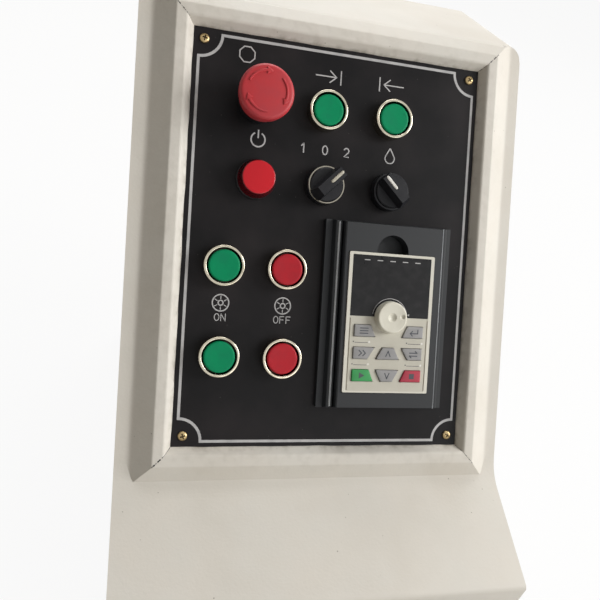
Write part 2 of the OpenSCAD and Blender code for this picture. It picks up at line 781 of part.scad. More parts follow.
// Mushroom head with a hollow underside that clears the collar when it is pressed
module estop_head() {
    rim_r = estop_d / 2;
    crown = 1.6;
    edge = 4.5;
    hollow_r = bezel_d / 2 + 1.2;
    bore_r = estop_neck_r + run_gap;
    color("#c0404a") at_spot(ESTOP) rotate_extrude() polygon(concat(
        [[hollow_r, estop_low], [rim_r - 1.5, estop_low], [rim_r - 0.3, estop_low + 1.5]],
        arc([rim_r - edge, estop_top - crown - edge], edge, 0, 75, 6),
        [[rim_r - 8, estop_top - crown * 0.55], [rim_r - 13, estop_top - crown * 0.15], [0, estop_top]],
        [[0, estop_neck_top + seat_gap], [bore_r, estop_neck_top + seat_gap], [bore_r, estop_roof],
            [hollow_r - 1.5, estop_roof], [hollow_r, estop_roof - 1.5]]));
}

module lamp_body() {
    color("#222326") at_spot(LAMP) rotate_extrude() polygon(concat(
        barrel_profile(shank_d / 2), [[barrel_d / 2, 0], [bezel_d / 2, 0], [bezel_d / 2, lamp_collar_h - 1],
            [bezel_d / 2 - 1, lamp_collar_h], [shank_d / 2, lamp_collar_h]]));
}

// Hollow lens cap with a conical skirt and a flat face
module lamp_lens() {
    wall = 2;
    edge = 1.5;
    face_r = lens_face_d / 2;
    color("#e1141e") at_spot(LAMP) rotate_extrude() polygon(concat(
        [[lens_d / 2 - wall, lamp_collar_h], [lens_d / 2, lamp_collar_h], [lens_d / 2, lamp_collar_h + wall]],
        arc([face_r - edge, lens_top - edge], edge, 15, 90, 4),
        [[0, lens_top], [0, lens_top - wall], [face_r - wall, lens_top - wall]]));
}

// Fixed ring of a selector with its barrel
module selector_ring(spot) {
    edge = 1.2;
    color("#1f1f21") at_spot(spot) rotate_extrude() polygon(concat(
        barrel_profile(shank_bore_r), [[barrel_d / 2, 0], [ring_d / 2, 0]],
        arc([ring_d / 2 - edge, ring_h - edge], edge, 0, 90, 4), [[shank_bore_r, ring_h]]));
}

knob_disc_r = ring_d / 2 - trim_w - 2 * seat_gap;
knob_disc_h = 2.4;
pointer_y = bar_len / 2 - pointer_len / 2 - 1;

// Bright trim ring that lies on a selector ring, round the knob's disc
module mode_trim() {
    outer_r = ring_d / 2 - seat_gap;
    top = ring_h + trim_w;
    color("#c9c8c2") at_spot(MODE) rotate_extrude() polygon([
        [outer_r - trim_w, ring_h], [outer_r - seat_gap, ring_h], [outer_r, ring_h + trim_w / 2],
        [outer_r - trim_w / 3, top], [outer_r - trim_w, top]]);
}

// Selector knob: shank, round disc and a grip bar with sloped sides and a raked back end, at its rest angle
module selector_knob(spot, turn) {
    low = ring_h + seat_gap;
    disc_top = low + knob_disc_h;
    foot_z = disc_top - past / 2;
    color("#1b1b1d") at_spot(spot) rotate([0, 0, turn]) difference() {
        union() {
            rotate_extrude() polygon([
                [0, -shank_end], [shank_d / 2, -shank_end], [shank_d / 2, low], [knob_disc_r, low],
                [knob_disc_r, disc_top - 0.8], [knob_disc_r - 0.8, disc_top], [0, disc_top]]);
            intersection() {
                translate([0, bar_len, 0]) rotate([90, 0, 0]) linear_extrude(2 * bar_len) polygon([
                    [-bar_w / 2, foot_z], [bar_w / 2, foot_z],
                    [bar_top_w / 2, bar_top], [-bar_top_w / 2, bar_top]]);
                translate([-bar_w, 0, 0]) rotate([90, 0, 90]) linear_extrude(2 * bar_w) polygon([
                    [-bar_len / 2, foot_z], [bar_len / 2 - 1, foot_z], [bar_len / 2, bar_top - 2],
                    [bar_len / 2 - 0.6, bar_top], [bar_rake - bar_len / 2, bar_top]]);
                linear_extrude(2 * bar_top) polygon(round_rect(bar_w, bar_len, bar_w * 0.3));
            }
        }
        translate([0, pointer_y, bar_top - pointer_t])
            block([pointer_w + 2 * run_gap, pointer_len + 2 * run_gap, pointer_t + past]);
    }
}

// Pale pointer set into the top of a selector bar
module pointer(spot, turn) {
    color("#e9e9e4") at_spot(spot) rotate([0, 0, turn])
        translate([0, pointer_y, bar_top - pointer_t]) block([pointer_w, pointer_len, pointer_t]);
}

module mode_ring() { selector_ring(MODE); }

module mode_knob() { selector_knob(MODE, -rest_angle); }

module mode_pointer() { pointer(MODE, -rest_angle); }

module pump_ring() { selector_ring(PUMP); }

module pump_knob() { selector_knob(PUMP, rest_angle); }

module pump_pointer() { pointer(PUMP, rest_angle); }

// Moulded front of the drive: raised face with drafted ends, ribbed and stepped sides, pocket for the keypad,
// thumb notch
module drive_front() {
    half = drive_w / 2;
    sill = 2 * front_wall;
    color("#3e4246") at_spot([drive_x, drive_v]) difference() {
        intersection() {
            translate([0, drive_h / 2, 0]) rotate([90, 0, 0]) linear_extrude(drive_h)
                polygon(both_sides(drive_side(half, half - step_w - rib_gap)));
            translate([-half, 0, 0]) rotate([90, 0, 90]) linear_extrude(drive_w)
                polygon(both_sides([
                    [drive_h / 2, 0], [drive_h / 2, step_h], [drive_h / 2 - end_draft, face_h]]));
        }
        translate([0, 0, -past])
            block([face_w - 2 * front_wall, drive_h - 2 * front_wall, case_back - front_wall + past]);
        translate([pad_x - drive_x, pad_v - drive_v, case_back])
            block([pad_w + 2 * seat_gap, pad_h + 2 * seat_gap, face_h]);
        translate([pad_x - drive_x, pad_top_v + notch_rise - drive_v, face_h - notch_depth])
            cylinder(r = notch_r, h = notch_depth + past);
        translate([pad_x - drive_x, pad_v - drive_v, -past])
            block([pad_w - 2 * sill, pad_h - 2 * sill, face_h]);
    }
}

// Right half of the drive front's section: step, rounded rib, groove, raised face with a small chamfer
function drive_side(half, rib_at) =
    let (chamfer = 0.8, crest_r = rib_w / 3)
    concat(
        [[half, 0], [half, step_h], [half - step_w, step_h]],
        arc([rib_at - crest_r, rib_h - crest_r], crest_r, 10, 90, 4),
        [[rib_at - rib_w, rib_h], [face_w / 2, step_h + 2], [face_w / 2, face_h - chamfer],
            [face_w / 2 - chamfer, face_h]]);

// Outline that repeats a right half, mirrored, on the left
function both_sides(right) = concat(right, [for (i = [len(right) - 1:-1:0]) [-right[i].x, right[i].y]]);

module drive_body() {
    color("#33373a") at_spot([drive_x, drive_v]) difference() {
        translate([0, 0, -drive_depth]) block([body_w, body_h, drive_depth]);
        for (y = [-1, 1], i = [-4:4])
            translate([i * vent_pitch, y * body_h / 2, -drive_depth / 2])
                cube([vent_w, 2 * front_wall, drive_depth / 2], center = true);
    }
}

module heat_sink() {
    fin_count = 11;
    pitch = (body_w - fin_t) / (fin_count - 1);
    color("#a7abae") at_spot([drive_x, drive_v]) translate([0, 0, -sink_back]) {
        translate([0, 0, sink_depth - sink_base]) block([body_w, body_h, sink_base]);
        for (i = [0:fin_count - 1])
            translate([-body_w / 2 + i * pitch, -body_h / 2, 0])
                cube([fin_t, body_h, sink_depth - sink_base]);
    }
}

// Angle brackets that clamp the drive against the back of the plate
module drive_brackets() {
    low = -plate_t - bracket_leg - sheet_t;
    color("#b8bab8") at_spot([drive_x, drive_v]) for (y = [-1, 1])
        translate([-bracket_len / 2, y * body_h / 2, 0]) scale([1, y, 1]) {
            translate([0, 0, low]) cube([bracket_len, sheet_t, -plate_t - low]);
            translate([0, 0, -plate_t - sheet_t]) cube([bracket_len, bracket_leg + drive_margin, sheet_t]);
        }
}

// Keypad shell with cut-outs for the display window, the knob shaft and the keys
module keypad_case() {
    inner_w = pad_w - 2 * pad_wall;
    inner_h = pad_h - 2 * pad_wall;
    groove = 0.8;
    groove_len = pad_h - window_top - window_h - pad_wall - 2 * groove;
    color("#d5d2c4") on_panel() difference() {
        translate([pad_x, pad_v, case_back]) linear_extrude(pad_depth) polygon(round_rect(pad_w, pad_h, 1));
        translate([pad_x, pad_v, case_back - past])
            block([inner_w, inner_h, pad_depth - 1.25 * pad_wall + past]);
        translate([pad_x, pad_top_v - window_top - window_h / 2, pad_face - window_t])
            block([window_w + 2 * run_gap, window_h + 2 * run_gap, window_t + past]);
        translate([dial_place.x, dial_place.y, case_back])
            cylinder(d = dial_shaft_d + 2 * slide_gap, h = pad_depth + past);
        for (name = KEYS)
            translate([0, 0, case_back]) linear_extrude(pad_depth + past)
                polygon(key_outline(name, seat_gap));
        for (x = [-1, 1])
            translate([pad_x + x * (window_w - groove) / 2, pad_v - pad_h / 2 + pad_wall + groove_len / 2,
                    pad_face - groove])
                block([groove, groove_len, groove + past]);
    }
}

module display_window() {
    color("#17181a") on_panel() difference() {
        translate([pad_x, pad_top_v - window_top - window_h / 2, pad_face - window_t])
            block([window_w, window_h, window_t]);
        translate([dial_place.x, dial_place.y, 0])
            cylinder(d = dial_shaft_d + 2 * slide_gap, h = 2 * pad_face);
    }
}

module keypad_board() {
    color("#2f6b45") at_spot([pad_x, pad_v]) translate([0, 0, board_top - board_t])
        block([pad_w - 2 * pad_wall - 2 * seat_gap, pad_h - 2 * pad_wall - 2 * seat_gap, board_t]);
}

// Speed knob with a dished front and a finger dimple
module speed_knob() {
    low = pad_face + seat_gap;
    top = low + dial_h;
    color("#d5d2c4") at_spot(dial_place) difference() {
        rotate_extrude() polygon(concat(
            [[0, board_top + seat_gap], [dial_shaft_d / 2, board_top + seat_gap], [dial_shaft_d / 2, low],
                [dial_d / 2, low], [dial_d / 2, low + 1], [dial_front_d / 2 + 0.6, top - 0.6],
                [dial_front_d / 2, top], [4.2, top], [3, top - 1], [0, top - 1]]));
        translate([dial_front_d / 2 - 4, 1.5, top + 0.8]) sphere(d = 4.4);
    }
}

KEYS = ["program", "function", "jog", "up", "direction", "run", "down", "stop"];

// Row of a key, counted from the top of the keypad
function key_row(name) =
    name == "program" || name == "function" ? 0 :
    name == "jog" || name == "up" || name == "direction" ? 1 : 2;

// Outline of a key on the panel, grown by gap for the hole that it moves in: outer keys have one slanted
// side, the arrow keys taper both ways
function key_outline(name, gap = 0) =
    let (top = pad_top_v - key_top - key_row(name) * key_pitch, low = top - key_h,
         left = pad_x - pad_w / 2 + key_side,
         flip = name == "function" || name == "direction" || name == "stop",
         side_gap = 1.2 * gap, mid = key_mid_w / 2 + side_gap)
    name == "up" ? key_taper(top + gap, low - gap, mid - key_slant, mid) :
    name == "down" ? key_taper(top + gap, low - gap, mid, mid - key_slant) :
    let (cut = name == "jog" || name == "direction" ? [0, 1.15 * key_slant] : [0.85 * key_slant, 0],
         right = left + key_w + side_gap,
         shape = [[left - gap, top + gap], [right - cut.x, top + gap], [right - cut.y, low - gap],
             [left - gap, low - gap]])
    [for (p = shape) flip ? [2 * pad_x - p.x, p.y] : p];

function key_taper(top, low, half_top, half_low) = [
    [pad_x - half_top, top], [pad_x + half_top, top], [pad_x + half_low, low], [pad_x - half_low, low]];

module key(name, tint) {
    color(tint) on_panel() translate([0, 0, key_foot])
        linear_extrude(pad_face + key_proud - key_foot) polygon(key_outline(name));
}

module key_program() { key("program", "#ababab"); }

module key_function() { key("function", "#ababab"); }

module key_jog() { key("jog", "#ababab"); }

module key_up() { key("up", "#ababab"); }

module key_direction() { key("direction", "#ababab"); }

module key_run() { key("run", "#3fa45f"); }

module key_down() { key("down", "#ababab"); }

module key_stop() { key("stop", "#be3048"); }

standoff_d = 11;
standoff_x = tray_w / 2 - standoff_d;
standoff_y = tray_d / 2 - standoff_d;

module mounting_plate() {
    color("#c2c4c3") translate([0, tray_y, tray_top - sheet_t]) block([tray_w, tray_d, sheet_t]);
}

module standoffs() {
    color("#b08a44") for (x = [-1, 1], y = [-1, 1])
        translate([x * standoff_x, tray_y + y * standoff_y, base_t])
            cylinder(d = standoff_d, h = standoff_h, $fn = 6);
}

// Top-hat rails, with the hat open towards the plate
module mounting_rails() {
    hat = rail_w - 8;
    skin = 1;
    color("#c9cbca") for (y = [rail_front_y, rail_back_y])
        translate([rail_end - tray_w / 2, y, tray_top]) rotate([90, 0, 90])
        linear_extrude(tray_w - 2 * rail_end) polygon([
            [-hat / 2, 0], [hat / 2, 0], [hat / 2, rail_h - skin], [rail_w / 2, rail_h - skin],
            [rail_w / 2, rail_h], [hat / 2 - skin, rail_h], [hat / 2 - skin, skin], [-hat / 2 + skin, skin],
            [-hat / 2 + skin, rail_h], [-rail_w / 2, rail_h], [-rail_w / 2, rail_h - skin],
            [-hat / 2, rail_h - skin]]);
}

// Three-pole breaker on the front rail
module circuit_breaker() {
    color("#d8d8d4") translate([breaker_x, rail_front_y, rail_top]) difference() {
        union() {
            block([3 * pole_w, breaker_d, breaker_h]);
            block([3 * pole_w, breaker_nose_d, breaker_nose_h]);
            translate([0, 0, breaker_nose_h]) block([3 * pole_w - toggle, toggle, toggle]);
        }
        for (i = [-1:1], y = [-1, 1])
            translate([i * pole_w, y * (breaker_d + breaker_nose_d) / 4, breaker_h - 2 * well_d])
                cylinder(d = well_d, h = 3 * well_d);
    }
}

function contactor_x(i) = breaker_x + 1.5 * pole_w + device_gap + (i + 0.5) * contactor_w + i * device_gap;

// Contactors for the grinding motor and the coolant pump
module contactors() {
    slot = contactor_w / 3;
    color("#44474a") for (i = [0, 1]) translate([contactor_x(i), rail_front_y, rail_top]) difference() {
        union() {
            block([contactor_w, contactor_d, contactor_h]);
            block([contactor_w, contactor_nose_d, contactor_nose_h]);
        }
        for (k = [-1:1], y = [-1, 1])
            translate([
                    k * contactor_w / 4, y * (contactor_d + contactor_nose_d) / 4, contactor_h - 2 * well_d])
                cylinder(d = well_d, h = 3 * well_d);
        translate([0, 0, contactor_nose_h - well_d]) block([slot, contactor_nose_d / 2, 2 * well_d]);
    }
}

module overload_relay() {
    color("#d8d8d4") translate([contactor_x(0), relay_y, tray_top]) difference() {
        block([contactor_w, relay_d, relay_h]);
        translate([contactor_w / 4, 0, relay_h - well_d / 2]) cylinder(d = 2 * well_d, h = well_d);
        for (k = [-1:1])
            translate([k * contactor_w / 4, -0.36 * relay_d, relay_h - 2 * well_d])
                cylinder(d = well_d, h = 3 * well_d);
    }
}

// Row of feed-through terminals on the back rail
module terminal_blocks() {
    well = 0.6 * well_d;
    color("#8f989c") for (i = [-11:11]) translate([i * terminal_pitch, rail_back_y, rail_top]) difference() {
        union() {
            block([terminal_pitch - 2 * run_gap, terminal_d, terminal_h]);
            block([terminal_pitch - 2 * run_gap, terminal_nose_d, terminal_nose_h]);
        }
        for (y = [-1, 1])
            translate([0, y * (terminal_d + terminal_nose_d) / 4, terminal_h - 2 * well])
                cylinder(d = well, h = 3 * well);
    }
}

// Control transformer: laminated core with its winding through the window
module control_transformer() {
    color("#5b4a3a") translate([transformer_in - half_w, transformer_y, base_t]) {
        difference() {
            block([core_w, core_d, core_h]);
            for (x = [-1, 1])
                translate([x * core_w / 4, 0, core_leg])
                    block([core_leg, core_d + 2 * past, core_h - 2 * core_leg]);
        }
        for (y = [-1, 1])
            translate([0, y * (core_d + winding_out) / 2, core_leg + 1])
                block([core_w - core_leg, winding_out, core_h - 2 * core_leg - 2]);
    }
}

base_plate();
cable_edging();
side_panel_left();
side_panel_right();
wrap_sheet();
rear_cover();
cover_screws();
panel_frame();
control_plate();
plate_screws();
button_bezels();
stroke_right_cap();
stroke_left_cap();
upper_start_cap();
upper_stop_cap();
lower_start_cap();
lower_stop_cap();
lock_nuts();
contact_blocks();
estop_collar();
estop_stem();
estop_head();
lamp_body();
lamp_lens();
mode_ring();
mode_trim();
mode_knob();
mode_pointer();
pump_ring();
pump_knob();
pump_pointer();
drive_front();
drive_body();
heat_sink();
drive_brackets();
keypad_case();
display_window();
keypad_board();
speed_knob();
key_program();
key_function();
key_jog();
key_up();
key_direction();
key_run();
key_down();
key_stop();
mounting_plate();
standoffs();
mounting_rails();
circuit_breaker();
contactors();
overload_relay();
terminal_blocks();
control_transformer();
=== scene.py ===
import json
import math

import bmesh
import bpy
import numpy as np
from mathutils import Matrix, Vector


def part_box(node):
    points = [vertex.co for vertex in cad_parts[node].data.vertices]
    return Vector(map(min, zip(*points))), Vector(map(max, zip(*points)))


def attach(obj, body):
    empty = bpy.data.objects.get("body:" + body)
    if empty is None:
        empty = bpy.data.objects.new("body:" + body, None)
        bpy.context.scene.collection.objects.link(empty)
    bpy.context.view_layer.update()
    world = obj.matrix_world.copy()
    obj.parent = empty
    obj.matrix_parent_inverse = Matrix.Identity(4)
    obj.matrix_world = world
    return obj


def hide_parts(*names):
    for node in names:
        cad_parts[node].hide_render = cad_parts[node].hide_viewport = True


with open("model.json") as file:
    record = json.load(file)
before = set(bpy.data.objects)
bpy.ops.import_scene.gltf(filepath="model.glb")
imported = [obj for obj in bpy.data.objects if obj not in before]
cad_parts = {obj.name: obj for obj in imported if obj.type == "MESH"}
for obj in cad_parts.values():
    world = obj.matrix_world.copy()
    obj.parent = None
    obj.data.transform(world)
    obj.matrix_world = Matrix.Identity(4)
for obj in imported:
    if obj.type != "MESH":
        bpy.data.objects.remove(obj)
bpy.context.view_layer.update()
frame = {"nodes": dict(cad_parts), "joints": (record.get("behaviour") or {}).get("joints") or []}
nodes = frame["nodes"]
joints = {joint["name"]: joint for joint in frame["joints"]}
mm = 0.001
print("frame loaded:", len(nodes), "nodes")

# panel axes: x across, v up the slope, h out of the plate's face, all in mm from the plate's middle
panelOut = np.array(joints["mode_turn"]["axis"], float)
panelAcross = np.array([1.0, 0.0, 0.0])
panelUp = np.cross(panelOut, panelAcross)
panelOrigin = np.array(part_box("control_plate"), float).mean(0)
tilt = math.atan2(panelUp[1], panelUp[2])


def nodePoints(name):
    # corners of a CAD node, in panel mm
    mesh = nodes[name].data
    flat = np.empty(len(mesh.vertices) * 3)
    mesh.vertices.foreach_get("co", flat)
    offset = flat.reshape(-1, 3) - panelOrigin
    return np.stack([offset @ panelAcross, offset @ panelUp, offset @ panelOut], -1) / mm


def nodeSpan(name):
    # lowest and highest x, v and h of a node
    points = nodePoints(name)
    return points.min(0), points.max(0)


def nodeSpot(name):
    # x, v in the middle between a node's limits
    low, high = nodeSpan(name)
    return (low[:2] + high[:2]) / 2


panelOrigin = panelOrigin + panelOut * nodeSpan("control_plate")[1][2] * mm  # from mid thickness to the face
halfX, halfV = nodeSpan("control_plate")[1][:2]


def toWorld(points):
    # x, v, h in mm on the panel, turned to metres in the object's own frame
    spots = np.asarray(points, float) * mm
    return panelOrigin + spots[..., :1] * panelAcross + spots[..., 1:2] * panelUp + spots[..., 2:] * panelOut


def onPanel(flat, height):
    # x, v points lifted to one height over the plate, or each to its own
    flat = np.asarray(flat, float)
    return np.concatenate([flat, np.broadcast_to(height, flat.shape[:-1])[..., None]], -1)


def unit(vectors):
    # vectors brought to length 1
    return vectors / np.linalg.norm(vectors, axis=-1, keepdims=True)


def skin(grid, flip=False, wrap=False):
    # points of a grid, and quads between its rows and columns: turned over with flip, and with wrap the last
    # column is joined to the first
    rows, cols = grid.shape[:2]
    row, col = np.arange(rows - 1)[:, None] * cols, np.arange(cols if wrap else cols - 1)
    near, far = row + col, row + (col + 1) % cols
    faces = np.stack([near, far, far + cols, near + cols], -1).reshape(-1, 4)
    return grid.reshape(-1, 3), faces[:, ::-1] if flip else faces


def joinParts(parts):
    # one list of points, with each part's face numbers moved on by the points before it
    starts = np.cumsum([0] + [len(points) for points, faces in parts[:-1]])
    points = np.vstack([part[0] for part in parts])
    return points, np.vstack([part[1] + start for part, start in zip(parts, starts)])


def addPiece(name, parts, finish, body="console", replaced=(), sharp=38, grimeAndShade=None):
    # one mesh from its parts, smooth up to the sharp angle, on its body, for the nodes it replaces
    points, faces = joinParts(parts)
    mesh = bpy.data.meshes.new(name)
    mesh.from_pydata(toWorld(points).tolist(), [], faces.tolist())
    if grimeAndShade is not None:
        held = mesh.attributes.new("grimeAndShade", "FLOAT", "POINT")
        held.data.foreach_set("value", np.asarray(grimeAndShade, np.float32).ravel())
    work = bmesh.new()
    work.from_mesh(mesh)
    bmesh.ops.remove_doubles(work, verts=work.verts, dist=1e-6)
    bmesh.ops.dissolve_degenerate(work, edges=work.edges, dist=1e-7)
    work.to_mesh(mesh)
    work.free()
    mesh.polygons.foreach_set("use_smooth", np.ones(len(mesh.polygons), bool))
    mesh.set_sharp_from_angle(angle=math.radians(sharp))
    piece = bpy.data.objects.new(name, mesh)
    bpy.context.scene.collection.objects.link(piece)
    piece.data.materials.append(finishes[finish])
    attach(piece, body)
    if replaced:
        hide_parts(*replaced)


# materials
def hexColor(text):
    # sRGB hex to linear, with alpha 1
    value = np.array([int(text[k:k + 2], 16) / 255 for k in (1, 3, 5)])
    linear = np.where(value <= 0.04045, value / 12.92, ((value + 0.055) / 1.055) ** 2.4)
    return (*linear.tolist(), 1.0)


def setInputs(tree, node, inputs):
    # each input takes a value, or a link where it is given a socket
    for key, value in inputs.items():
        if isinstance(value, bpy.types.NodeSocket):
            tree.links.new(value, node.inputs[key])
        else:
            node.inputs[key].default_value = value


def addNode(tree, kind, inputs=None, out=0, **settings):
    # adds a node with its settings and inputs, and gives back one of its outputs
    made = tree.nodes.new("ShaderNode" + kind)
    for key, value in settings.items():
        setattr(made, key, value)
    setInputs(tree, made, inputs or {})
    return made.outputs[out]


def startMaterial(name):
    # new material, its tree and shader, and the piece's own coordinates
    material = bpy.data.materials.new(name)
    material.use_nodes = True
    tree = material.node_tree
    return material, tree, tree.nodes["Principled BSDF"], addNode(tree, "TexCoord", out="Object")


def perMetre(size):
    # texture scale for a pattern whose grain is size mm
    return 1 / mm / size


def alongPanel(tree, place, axis, start, end, fall=False):
    # 0 to 1 (or 1 to 0) between two places in mm along one panel axis
    offset = addNode(tree, "VectorMath", {0: place, 1: tuple(panelOrigin)}, operation="SUBTRACT")
    way = addNode(tree, "VectorMath", {0: offset, 1: tuple(axis)}, "Value", operation="DOT_PRODUCT")
    return addNode(tree, "MapRange", {"Value": way, "From Min": start * mm, "From Max": end * mm,
                                      "To Min": float(fall), "To Max": float(not fall)})


def blendColors(tree, pattern, face, worn, start=0.0, end=1.0):
    # from one colour to the other as a pattern goes from start to end
    share = addNode(tree, "MapRange", {"Value": pattern, "From Min": start, "From Max": end})
    return addNode(tree, "Mix", {0: share, 6: hexColor(face), 7: hexColor(worn)}, 2, data_type="RGBA")


def grainBump(tree, place, size, strength, depth, detail=2.0):
    # surface grain, its size and depth in mm
    fine = addNode(tree, "TexNoise", {"Vector": place, "Scale": perMetre(size), "Detail": detail})
    return addNode(tree, "Bump", {"Height": fine, "Strength": strength, "Distance": depth * mm})


def creamEnamel():
    # enamel sprayed over filler on folded steel: orange peel, broad hand-finished waves, specks, and grime
    # where the frame's edges rub, with its inner corners painted darker as dust and painted shade
    look = {"warm": "#dad4ca", "cool": "#d7d4cc", "deep": "#cec8bd", "chip": "#7d7466", "grimeAndShade": "#6f6450",
            "hue": 39, "peel": 2.2, "wave": 26, "cloud": 65, "speck": 12, "patch": 70, "smear": 7}
    material, tree, shader, place = startMaterial("creamEnamel")
    hue, cloud, patch, smear, peel, wave = (
        addNode(tree, "TexNoise", {"Vector": place, "Scale": perMetre(look[name]), "Detail": detail})
        for name, detail in (("hue", 2.0), ("cloud", 5.0), ("patch", 2.0), ("smear", 6.0), ("peel", 2.0),
                             ("wave", 2.0)))
    tint = blendColors(tree, hue, look["warm"], look["cool"])
    shade = addNode(tree, "MapRange", {"Value": cloud, "From Min": 0.45, "From Max": 0.8, "To Max": 0.7})
    speck = addNode(tree, "TexVoronoi", {"Vector": place, "Scale": perMetre(look["speck"])})
    spot = addNode(tree, "MapRange", {"Value": speck, "From Min": 0.025, "From Max": 0.05, "To Min": 0.8,
                                      "To Max": 0.0})
    gate = addNode(tree, "MapRange", {"Value": patch, "From Min": 0.44, "From Max": 0.56})
    chips = addNode(tree, "Math", {0: spot, 1: gate}, operation="MULTIPLY")
    # light grime on the rubbed edges, and dust with painted shade in the inner corner at the bevel's foot
    rubAndShade = addNode(tree, "Attribute", out="Fac", attribute_name="grimeAndShade")
    streak = addNode(tree, "MapRange", {"Value": smear, "From Min": 0.46, "From Max": 0.7})
    dirtAndShade = addNode(tree, "Math", {0: rubAndShade, 1: streak}, operation="MULTIPLY")
    color = tint
    for share, over in ((shade, "deep"), (chips, "chip"), (dirtAndShade, "grimeAndShade")):
        color = addNode(tree, "Mix", {0: share, 6: color, 7: hexColor(look[over])}, 2, data_type="RGBA")
    rough = addNode(tree, "MapRange", {"Value": wave, "To Min": 0.46, "To Max": 0.6})
    low = addNode(tree, "Bump", {"Height": wave, "Strength": 0.3, "Distance": 1.2 * mm})
    fine = addNode(tree, "Bump", {"Height": peel, "Normal": low, "Strength": 0.5, "Distance": 0.18 * mm})
    dent = addNode(tree, "Bump", {"Height": chips, "Normal": fine, "Strength": 0.4, "Distance": 0.2 * mm},
                   invert=True)
    setInputs(tree, shader, {"IOR": 1.5, "Specular IOR Level": 0.25, "Base Color": color, "Roughness": rough,
                             "Normal": dent})
    return material


def satinPlate():
    # anodised plate with a satin black face: dust, lint and a faint warm bloom
    look = {"face": "#171617", "dust": "#262324", "lint": "#5d5957", "cloud": 45, "grit": 1.4, "lintPitch": 8}
    material, tree, shader, place = startMaterial("satinBlackPlate")
    cloud = addNode(tree, "TexNoise", {"Vector": place, "Scale": perMetre(look["cloud"]), "Detail": 5.0})
    lint = addNode(tree, "TexVoronoi", {"Vector": place, "Scale": perMetre(look["lintPitch"])})
    dot = addNode(tree, "MapRange", {"Value": lint, "From Min": 0.025, "From Max": 0.05, "To Min": 0.5,
                                     "To Max": 0.0})
    body = blendColors(tree, cloud, look["face"], look["dust"], 0.4, 0.75)
    color = addNode(tree, "Mix", {0: dot, 6: body, 7: hexColor(look["lint"])}, 2, data_type="RGBA")
    rough = addNode(tree, "MapRange", {"Value": cloud, "To Min": 0.34, "To Max": 0.5})
    setInputs(tree, shader, {"IOR": 1.5, "Specular IOR Level": 0.1, "Base Color": color, "Roughness": rough,
                             "Normal": grainBump(tree, place, look["grit"], 0.15, 0.06)})
    return material


def mouldedPlastic(name, face, worn, rough, gloss=0.5, cloudSize=9, grain=0.6, grip=0.2):
    # injection moulded plastic: fine spark-eroded grain, slightly rubbed and dusty tone
    material, tree, shader, place = startMaterial(name)
    cloud = addNode(tree, "TexNoise", {"Vector": place, "Scale": perMetre(cloudSize), "Detail": 5.0})
    matte = addNode(tree, "MapRange", {"Value": cloud, "To Min": rough - 0.06, "To Max": rough + 0.06})
    setInputs(tree, shader, {"IOR": 1.46, "Specular IOR Level": gloss, "Roughness": matte,
                             "Base Color": blendColors(tree, cloud, face, worn, 0.42, 0.72),
                             "Normal": grainBump(tree, place, grain, grip, 0.05, 3.0)})
    return material


def platedMetal(name, face, dull, rough, grip=0.06):
    # plated or drawn metal: handled, with faint patches of duller plating, and its recesses painted dark as
    # dirt and painted shade
    look = {"dirtAndShade": "#1a1512", "cloud": 6, "grain": 0.8}
    material, tree, shader, place = startMaterial(name)
    cloud = addNode(tree, "TexNoise", {"Vector": place, "Scale": perMetre(look["cloud"]), "Detail": 5.0})
    body = blendColors(tree, cloud, face, dull)
    # recesses darkened from the piece's attribute: dirt and painted shade
    held = addNode(tree, "Attribute", out="Fac", attribute_name="grimeAndShade")
    color = addNode(tree, "Mix", {0: held, 6: body, 7: hexColor(look["dirtAndShade"])}, 2, data_type="RGBA")
    matte = addNode(tree, "MapRange", {"Value": cloud, "To Min": rough - 0.05, "To Max": rough + 0.08})
    setInputs(tree, shader, {"Metallic": 1.0, "Base Color": color, "Roughness": matte,
                             "Normal": grainBump(tree, place, look["grain"], grip, 0.04)})
    return material


def lampLens():
    # red moulded lens over a lit diffuser: painted light by height over the plate, the flat face painted bright
    # as if lit from behind and the skirt painted dark as shade; a faint glow on the face
    look = {"face": "#c81c28", "skirt": "#4c0810", "from": 11.9, "to": 12.3, "glow": 0.05, "grain": 1.5}
    material, tree, shader, place = startMaterial("redLensPolycarbonate")
    lit = alongPanel(tree, place, panelOut, look["from"], look["to"])
    # painted light: dark skirt as painted shade, bright face as painted backlight
    color = blendColors(tree, lit, look["skirt"], look["face"])
    glow = addNode(tree, "Math", {0: lit, 1: look["glow"]}, operation="MULTIPLY")
    setInputs(tree, shader, {"IOR": 1.5, "Roughness": 0.22, "Specular IOR Level": 0.25, "Base Color": color,
                             "Emission Color": color, "Emission Strength": glow,
                             "Normal": grainBump(tree, place, look["grain"], 0.1, 0.05)})
    return material


def keypadShell():
    # moulded keypad shell: polished rim painted lighter as a painted highlight, and the rougher spark-eroded
    # key field below the window painted darker as painted shade
    look = {"rim": "#d9d6ca", "shadedField": "#cecbbf", "dust": "#bfbbad", "soft": 0.3, "lowRim": 1.4, "cloud": 14,
            "grain": 0.7}
    material, tree, shader, place = startMaterial("keypadCreamAbs")
    low, high = nodeSpan("display_window")
    soft, bottom = look["soft"], nodeSpan("keypad_case")[0][1] + look["lowRim"]
    inside = alongPanel(tree, place, panelAcross, low[0] - soft, low[0])
    for axis, start, fall in ((panelAcross, high[0], True), (panelUp, bottom - soft, False),
                              (panelUp, low[1], True)):
        edge = alongPanel(tree, place, axis, start, start + soft, fall)
        inside = addNode(tree, "Math", {0: inside, 1: edge}, operation="MULTIPLY")
    cloud = addNode(tree, "TexNoise", {"Vector": place, "Scale": perMetre(look["cloud"]), "Detail": 4.0})
    shadedField = blendColors(tree, cloud, look["shadedField"], look["dust"])
    # painted light: lit rim, shaded key field
    color = addNode(tree, "Mix", {0: inside, 6: hexColor(look["rim"]), 7: shadedField}, 2, data_type="RGBA")
    rough = addNode(tree, "MapRange", {"Value": inside, "To Min": 0.34, "To Max": 0.54})
    setInputs(tree, shader, {"IOR": 1.46, "Specular IOR Level": 0.3, "Base Color": color, "Roughness": rough,
                             "Normal": grainBump(tree, place, look["grain"], 0.15, 0.05)})
    return material


